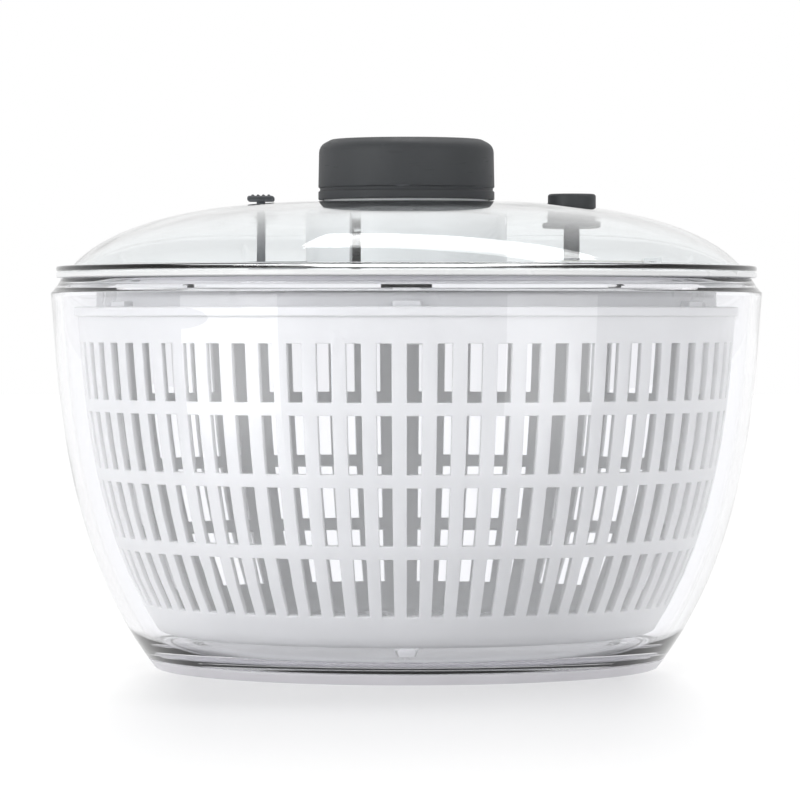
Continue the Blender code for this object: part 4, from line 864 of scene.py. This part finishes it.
class SPINNER_OT_lid_base(Operator):
    """Mould the inner lid with its collar, ribs, posts and rails, and its gasket"""

    bl_idname = "spinner.lid_base"
    bl_label = "Inner Lid"

    def execute(self, context):
        lid = context.scene.spinner_lid
        wall, edge = 125.6, BASE_HIGH.x
        bottom, top = BASE_LOW.z, BASE_LOW.z + 2.0
        flange = COVER_LOW.z - 2.3
        collar_top = BASE_HIGH.z
        groove = GASKET_HIGH.x - 3.1
        corners = [
            (12.8, bottom), (wall, bottom, 0.5), (wall, GASKET_LOW.z - 0.3, 0.1),
            (groove, GASKET_LOW.z - 0.3, 0.2), (groove, GASKET_HIGH.z + 0.3, 0.2),
            (wall, GASKET_HIGH.z + 0.3, 0.1), (wall, flange, 0.2), (edge, flange, 0.7),
            (edge, flange + 2.0, 0.7), (wall - 3.0, flange + 2.0, 0.5), (wall - 3.0, top, 0.8),
            (37.8, top, 1.6), (37.8, collar_top, 0.4), (35.8, collar_top, 0.4), (35.8, top, 0.4),
            (12.8, top),
        ]
        base = lathe("inner_lid", corners)
        cutters = []
        for index in range(3):
            slot = slab("slot", (35.0, -2.4, top + 0.6), (39.5, 2.4, collar_top + 1), 0)
            cutters.append(turn(slot, FULL_TURN * index / 3))
        tongue = LOCK_TONGUE_Z
        cutters.append(slab("window", (-39.5, -5.6, tongue - 0.6), (-34.3, 5.6, tongue + 2.6), 0))
        cutters.append(slab("pad_hole", (73.6, -7.0, bottom - 1), (86.4, 7.0, top + 1), 0))
        cut(base, *cutters)
        finish_piece(base, "lid", "white_lid_plastic", "lid_base")
        rib = slab("lid_ribs", (38.6, -0.8, top - 0.5), (121.8, 0.8, top + 2.6), 0.35, 2)
        ribs = copies(rib, lid.ribs, skip=(0, lid.ribs // 2))
        finish_piece(smooth(ribs), "lid", "white_lid_plastic")
        for name, radius in (("lid_ring_inner", 60.0), ("lid_ring_outer", 98.0)):
            hoop = [
                (radius - 0.7, top - 0.4),
                (radius + 0.7, top - 0.4),
                (radius + 0.7, top + 1.8),
                (radius - 0.7, top + 1.8),
            ]
            ring = lathe(name, hoop, sides=120, steps=2)
            gaps = [
                slab("brake_gap", (50, -9.0, top + 0.05), (115, 9.0, top + 5), 0),
                slab("lock_gap", (-115, -9.5, top + 0.05), (-50, 9.5, top + 5), 0),
            ]
            cut(ring, *gaps)
            finish_piece(ring, "lid", "white_lid_plastic")
        self.posts(top)
        gasket = [
            (GASKET_HIGH.x - 2.8, GASKET_LOW.z, 0.2), (GASKET_HIGH.x - 0.7, GASKET_LOW.z, 0.3),
            (GASKET_HIGH.x, GASKET_LOW.z + 0.6, 0.3), (GASKET_HIGH.x, GASKET_HIGH.z - 0.6, 0.3),
            (GASKET_HIGH.x - 0.7, GASKET_HIGH.z, 0.3), (GASKET_HIGH.x - 2.8, GASKET_HIGH.z, 0.2),
        ]
        seal = lathe("lid_seal", gasket, steps=3)
        finish_piece(seal, "lid", "clear_silicone", "lid_gasket")
        return {"FINISHED"}

    def posts(self, top):
        pin = (PIN_LOW + PIN_HIGH) / 2
        made = []
        for side in (-1, 1):
            y0, y1 = sorted((side * 4.1, side * 6.7))
            low, high = (pin.x - 3.4, y0, top - 0.6), (pin.x + 3.4, y1, pin.z + 3.2)
            made.append(slab("brake_posts", low, high, 0.5))
        posts = join(*made)
        cut(posts, bar("bore", 1.5, (pin.x, -9, pin.z), (pin.x, 9, pin.z), rounding=0))
        finish_piece(posts, "lid", "white_lid_plastic")
        made = []
        for side in (-1, 1):
            y0, y1 = sorted((side * 5.6, side * 7.6))
            low, high = (LOCK_LOW.x - 2, y0, top - 0.6), (-39.8, y1, top + 5.0)
            made.append(slab("lock_rails", low, high, 0.4))
        finish_piece(join(*made), "lid", "white_lid_plastic")


LOCK_TONGUE_Z = BASE_LOW.z + 2.0 + 1.1 + 2.5 + 0.6


class SPINNER_OT_lid_cover(Operator):
    """Turn the clear cover and cut its openings"""

    bl_idname = "spinner.lid_cover"
    bl_label = "Clear Cover"

    def execute(self, context):
        edge, low, top = COVER_HIGH.x, COVER_LOW.z, COVER_HIGH.z
        outer = dome(edge)
        under = [point for point in beside(outer, -2.0) if point[1] > low + 0.4]
        corners = [
            (edge, low, 0.5), (edge, low + 2.0, 0.8),
            *[(r, z, 0.8 if index == 0 else None) for index, (r, z) in enumerate(outer)],
            (33.8, top, 0.7), (33.8, top - 2.0, 0.4), *bare(reversed(under)),
            (under[0][0] + 0.6, low, 0.3),
        ]
        cover = lathe("clear_cover", corners)
        web = LOCK_LOW.x + 3.0
        button_x = (BUTTON_LOW.x + BUTTON_HIGH.x) / 2
        hole = bar("hole", 9.6, (button_x, 0, low + 6), (button_x, 0, top + 9), 64, rounding=0)
        slot = slab("slot", (web - 0.7, -4.6, low + 6), (web + 7.7, 4.6, top + 9), 0)
        cut(cover, hole, slot)
        finish_piece(cover, "lid", "clear_plastic", "lid_cover")
        return {"FINISHED"}


# ---- Knob ----
class SPINNER_OT_knob(Operator):
    """Mould the knob and its core, and wind the return spring"""

    bl_idname = "spinner.knob"
    bl_label = "Knob"

    def execute(self, context):
        radius, low, top = CAP_HIGH.x, CAP_LOW.z, CAP_HIGH.z
        core_radius, core_top = 30.8, CORE_HIGH.z
        bore, ceiling = core_radius + 0.3, core_top + 0.3
        corners = [
            (0, ceiling + 2.6, None), (3.6, ceiling + 2.6, 0.3), (3.6, ceiling, 0.3),
            (bore, ceiling, 0.8), (bore, low, 0.3), (radius, low, 0.5), (radius, low + 3.0, 0.3),
            (radius - 0.6, low + 3.5, 0.2), (radius - 0.6, low + 4.3, 0.2), (radius, low + 4.8, 0.3),
            (radius - 0.3, top - 2.4, 5.0), (radius - 5.0, top, 3.0), (radius - 7.5, top, 2.0),
            (radius - 10.0, top - 1.0, 4.0), (0.35 * radius, top - 1.9, 8.0), (0, top - 2.0, None),
        ]
        cap = lathe("knob_shell", corners, sides=120)
        finish_piece(cap, "knob", "charcoal_soft_plastic", "knob_cap")
        flange_low = CORE_LOW.z
        core = [
            (1.5, core_top - 2.2), (29.0, core_top - 2.2, 1.0), (29.0, flange_low, 0.3),
            (35.2, flange_low, 0.4), (35.2, flange_low + 2.5, 0.4), (core_radius, flange_low + 2.5, 0.5),
            (core_radius, core_top, 1.2), (1.5, core_top),
        ]
        piece = lathe("knob_inner", core, sides=96)
        finish_piece(piece, "knob", "white_lid_plastic", "knob_core")
        rib = slab("knob_keys", (34.2, -2.0, flange_low), (CORE_HIGH.x, 2.0, flange_low + 2.5), 0.4)
        finish_piece(smooth(copies(rib, 3)), "knob", "white_lid_plastic")
        spring = coil("return_coil", 0, 27.8, 1.6, SPRING_LOW.z, SPRING_HIGH.z, 6)
        finish_piece(spring, "lid", "spring_steel", "return_spring")
        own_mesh(spring)
        return {"FINISHED"}


# ---- Brake ----
class SPINNER_OT_brake(Operator):
    """Mould the brake button, its lever, pad and pin, and wind its spring"""

    bl_idname = "spinner.brake"
    bl_label = "Brake"

    def execute(self, context):
        x = (BUTTON_LOW.x + BUTTON_HIGH.x) / 2
        flange = BUTTON_HIGH.x - x
        radius, low, top = flange - 2.0, BUTTON_LOW.z, BUTTON_HIGH.z
        stop = dome_height(x + flange) - 2.4
        corners = [
            (0, low, None), (3.0, low, 0.8), (3.0, stop - 2.0, 0.6), (flange, stop - 2.0, 0.4),
            (flange, stop - 0.2, 0.4), (radius, stop - 0.2, 0.3), (radius, top, 1.5),
            (radius - 2.2, top, 0.8), (radius - 3.4, top - 0.9, 0.8), (0, top - 1.3, None),
        ]
        button = shift(lathe("brake_key", corners, sides=64), (x, 0, 0))
        finish_piece(button, "brake_button", "charcoal_soft_plastic", "brake_button")
        pin = (PIN_LOW + PIN_HIGH) / 2
        arm = slab("brake_arm", (LEVER_LOW.x, -3.5, pin.z - 1.7), (LEVER_HIGH.x, 3.5, pin.z + 1.7), 0.6)
        leg = slab("leg", (PAD_LOW.x, -3.5, LEVER_LOW.z), (PAD_HIGH.x, 3.5, pin.z), 0.4)
        arm = join(arm, leg)
        finish_piece(smooth(arm), "brake_lever", "natural_acetal", "brake_lever")
        pad = slab("brake_shoe", PAD_LOW, PAD_HIGH, 0.5)
        finish_piece(pad, "brake_lever", "brake_rubber", "brake_pad")
        rod = bar("brake_axle", 1.2, (pin.x, PIN_LOW.y, pin.z), (pin.x, PIN_HIGH.y, pin.z))
        finish_piece(rod, "lid", "spring_steel", "brake_pin")
        low, high = BRAKE_SPRING_LOW, BRAKE_SPRING_HIGH
        spring = coil("brake_coil", x, (high.x - low.x) / 2 - 0.25, 0.5, low.z, high.z, 3)
        finish_piece(spring, "lid", "spring_steel", "brake_spring")
        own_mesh(spring)
        return {"FINISHED"}


# ---- Knob lock ----
class SPINNER_OT_lock(Operator):
    """Mould the slider that holds the knob down"""

    bl_idname = "spinner.lock"
    bl_label = "Knob Lock"

    def execute(self, context):
        back, front = LOCK_LOW.x + 0.5, LOCK_LOW.x + 13.5
        tongue = LOCK_TONGUE_Z
        block = slab("knob_latch", (back, -5.0, LOCK_LOW.z), (front, 5.0, tongue + 2.0), 0.6)
        blade = slab("blade", (front - 2, -5.0, tongue), (LOCK_HIGH.x, 5.0, tongue + 2.0), 0.3, 2)
        web_x = back + 3.0
        tab_top = LOCK_HIGH.z
        web = slab("web", (web_x, -4.0, tongue + 0.5), (web_x + 3.0, 4.0, tab_top - 1.0), 0.3, 2)
        middle = web_x + 1.5
        tab = slab("tab", (middle - 5, -6.0, tab_top - 2.6), (middle + 5, 6.0, tab_top - 0.5), 0.8)
        ridge = slab("ridge", (-0.5, -4.6, -0.8), (0.5, 4.6, 0.0), 0.35, 2)
        offsets = (-3.0, -1.0, 1.0, 3.0)
        ridges = [shift(clone(ridge), (middle + offset, 0, tab_top)) for offset in offsets]
        bpy.data.objects.remove(ridge)
        latch = join(block, blade, web, tab, *ridges)
        finish_piece(smooth(latch), "knob_lock", "charcoal_soft_plastic", "knob_lock")
        return {"FINISHED"}


# ---- Stage ----
class SPINNER_OT_stage(Operator):
    """Lay the floor, hang the lamps and set the camera"""

    bl_idname = "spinner.stage"
    bl_label = "Studio"

    def execute(self, context):
        stage = context.scene.spinner_stage
        radius = context.scene.spinner_bowl.rim_radius
        self.floor(stage)
        self.world(context.scene)
        self.lamp("window_left", (-1.25, -1.15, 0.75), 0.55, 0.9, 9, (0, 0, 0.09))
        self.lamp("window_right", (0.95, -1.4, 0.75), 0.5, 0.8, 4, (0, 0, 0.09))
        self.lamp("overhead", (0.25, 0.55, 1.7), 1.3, 0.5, 9, (0, 0, 0.05))
        self.sheet("sheet_left", radius, -38.5, -20.7, 3.4)
        self.sheet("sheet_right", radius, 16.0, 31.5, 2.8)
        self.camera(context.scene, stage)
        context.scene.view_settings.view_transform = "Standard"
        return {"FINISHED"}

    def camera(self, scene, stage):
        bpy.ops.object.camera_add(location=(-stage.aside, -stage.distance, stage.eye_height))
        camera = scene.camera = bpy.context.object
        camera.name = "camera"
        drop = stage.eye_height - stage.aim_height
        camera.rotation_euler = (math.pi / 2 - math.atan2(drop, stage.distance), 0, 0)
        camera.data.lens = stage.lens
        camera.data.sensor_width = 36
        camera.data.clip_end = 50
        camera.data.dof.use_dof = False

    def floor(self, stage):
        """Lit and glowing paper with a painted soft shade in front of the bowl and round its foot; outside
        the shade the paper glows white.
        """
        select_only()
        bpy.ops.mesh.primitive_plane_add(size=12, location=(0, 0, 0))
        floor = name_piece("studio_floor")
        material, tree, shader, place = blank("studio_paper")
        split = put(tree, "ShaderNodeSeparateXYZ", {0: place}).outputs
        reach = distance_from_axis(tree, place)
        # The shade is painted, not cast: a darker lobe ahead of the bowl that fades out behind it, and a
        # darker ring round the foot.
        half_width, blur, spread = 0.093, 0.009, 0.10
        past = reckon(tree, "SUBTRACT", reckon(tree, "ABSOLUTE", split["X"]), half_width)
        past = reckon(tree, "DIVIDE", past, reckon(tree, "MULTIPLY_ADD", reach, spread, blur))
        across = self.fall(tree, past, -1.0, 1.0)
        ahead = self.fall(tree, reach, 0.15, 0.56)
        behind = self.fall(tree, split["Y"], -0.06, 0.06)
        painted_contact_shade = self.fall(tree, reach, 0.09, 0.13, 0.35)
        painted_shadow_lobe = reckon(tree, "MULTIPLY", reckon(tree, "MULTIPLY", across, ahead), behind)
        shade = reckon(tree, "MAXIMUM", painted_shadow_lobe, painted_contact_shade)
        # Inside the painted shade the paper takes the floor colour and a weaker glow. Outside it the paper
        # is black and glows pure white.
        paper = tinted(tree, shade, (0, 0, 0), tuple(stage.floor))
        glow = tinted(tree, shade, (1, 1, 1), tuple(stage.glow))
        feed(tree, shader, {"Base Color": paper, "Emission Color": glow, "Emission Strength": 1.0})
        feed(tree, shader, {"Roughness": 0.6, "Specular IOR Level": 0.1})
        floor.data.materials.append(material)

    def fall(self, tree, value, start, end, height=1.0):
        """A value that falls softly from height to nothing."""
        return fit(tree, value, start, end, height, 0.0, "SMOOTHSTEP")

    def sheet(self, name, radius, start, end, strength):
        """A glowing sheet on the floor, cut so that the bowl mirrors it as an upright window."""
        select_only()
        bpy.ops.mesh.primitive_plane_add(size=1, location=(0, 0, 0))
        sheet = name_piece(name)
        near, far, fade, lift = 0.12, 1.1, 0.3, 0.002
        corners = []
        for side in (math.radians(start), math.radians(end)):
            foot = Vector((radius * math.sin(side), -radius * math.cos(side), lift))
            away = Vector((math.sin(2 * side), -math.cos(2 * side), 0))
            corners += [foot + away * near, foot + away * far]
        for vertex, corner in zip(sheet.data.vertices, corners):
            vertex.co = corner
        material, tree, shader, place = blank(name)
        reach = distance_from_axis(tree, place)
        lit = fit(tree, reach, radius + near, radius + near + fade, shape="SMOOTHSTEP")
        glow = tinted(tree, lit, (1 / strength,) * 3, (1, 1, 1))
        feed(tree, shader, {"Emission Color": glow, "Emission Strength": strength})
        feed(tree, shader, {"Base Color": (0, 0, 0, 1), "Specular IOR Level": 0.0})
        sheet.data.materials.append(material)
        sheet.visible_camera = sheet.visible_transmission = False
        sheet.visible_diffuse = sheet.visible_shadow = False

    def world(self, scene):
        """White behind and above, greyer on the camera's side, so that glass edges show."""
        scene.world = bpy.data.worlds.new("studio_light")
        scene.world.use_nodes = True
        tree = scene.world.node_tree
        place = put(tree, "ShaderNodeTexCoord").outputs["Generated"]
        split = put(tree, "ShaderNodeSeparateXYZ", {0: place}).outputs
        round_about = fit(tree, split["Y"], -0.2, 0.97, 0.50, 0.98, "SMOOTHSTEP")
        seen = put(tree, "ShaderNodeLightPath").outputs["Is Camera Ray"]
        inputs = {"Factor": seen, "A": round_about, "B": 1.0}
        strength = put(tree, "ShaderNodeMix", inputs, data_type="FLOAT").outputs["Result"]
        feed(tree, tree.nodes["Background"], {"Color": (1, 1, 1, 1), "Strength": strength})

    def lamp(self, name, place, width, height, power, target):
        bpy.ops.object.light_add(type="AREA", location=place)
        lamp = bpy.context.object
        lamp.name = name
        lamp.rotation_euler = (Vector(target) - Vector(place)).to_track_quat("-Z", "Y").to_euler()
        lamp.data.shape = "RECTANGLE"
        lamp.data.size, lamp.data.size_y = width, height
        lamp.data.energy = power
        lamp.visible_camera = False


# ---- Panel and run ----
class SPINNER_PT_panel(Panel):
    """Lists the pieces and their settings"""

    bl_label = "Salad Spinner"
    bl_idname = "SPINNER_PT_panel"
    bl_space_type = "VIEW_3D"
    bl_region_type = "UI"
    bl_category = "Spinner"

    def draw(self, context):
        layout = self.layout
        for operator in PIECES:
            layout.operator(operator.bl_idname)
        for group in GROUPS:
            settings = getattr(context.scene, group)
            box = layout.box()
            for key in settings.__annotations__:
                box.prop(settings, key)


PIECES = (
    SPINNER_OT_bowl,
    SPINNER_OT_basket,
    SPINNER_OT_turntable,
    SPINNER_OT_lid_base,
    SPINNER_OT_lid_cover,
    SPINNER_OT_knob,
    SPINNER_OT_brake,
    SPINNER_OT_lock,
    SPINNER_OT_stage,
)
GROUPS = {
    "spinner_bowl": BowlSettings,
    "spinner_basket": BasketSettings,
    "spinner_lid": LidSettings,
    "spinner_stage": StageSettings,
}


def register():
    for kind in (*GROUPS.values(), *PIECES, SPINNER_PT_panel):
        bpy.utils.register_class(kind)
    for name, kind in GROUPS.items():
        setattr(bpy.types.Scene, name, PointerProperty(type=kind))


def unregister():
    for name in GROUPS:
        delattr(bpy.types.Scene, name)
    for kind in reversed((*GROUPS.values(), *PIECES, SPINNER_PT_panel)):
        bpy.utils.unregister_class(kind)


def main():
    register()
    dress_nodes()
    bpy.ops.spinner.bowl()
    bpy.ops.spinner.basket()
    bpy.ops.spinner.turntable()
    bpy.ops.spinner.lid_base()
    bpy.ops.spinner.lid_cover()
    bpy.ops.spinner.knob()
    bpy.ops.spinner.brake()
    bpy.ops.spinner.lock()
    bpy.ops.spinner.stage()


if __name__ == "__main__":
    main()
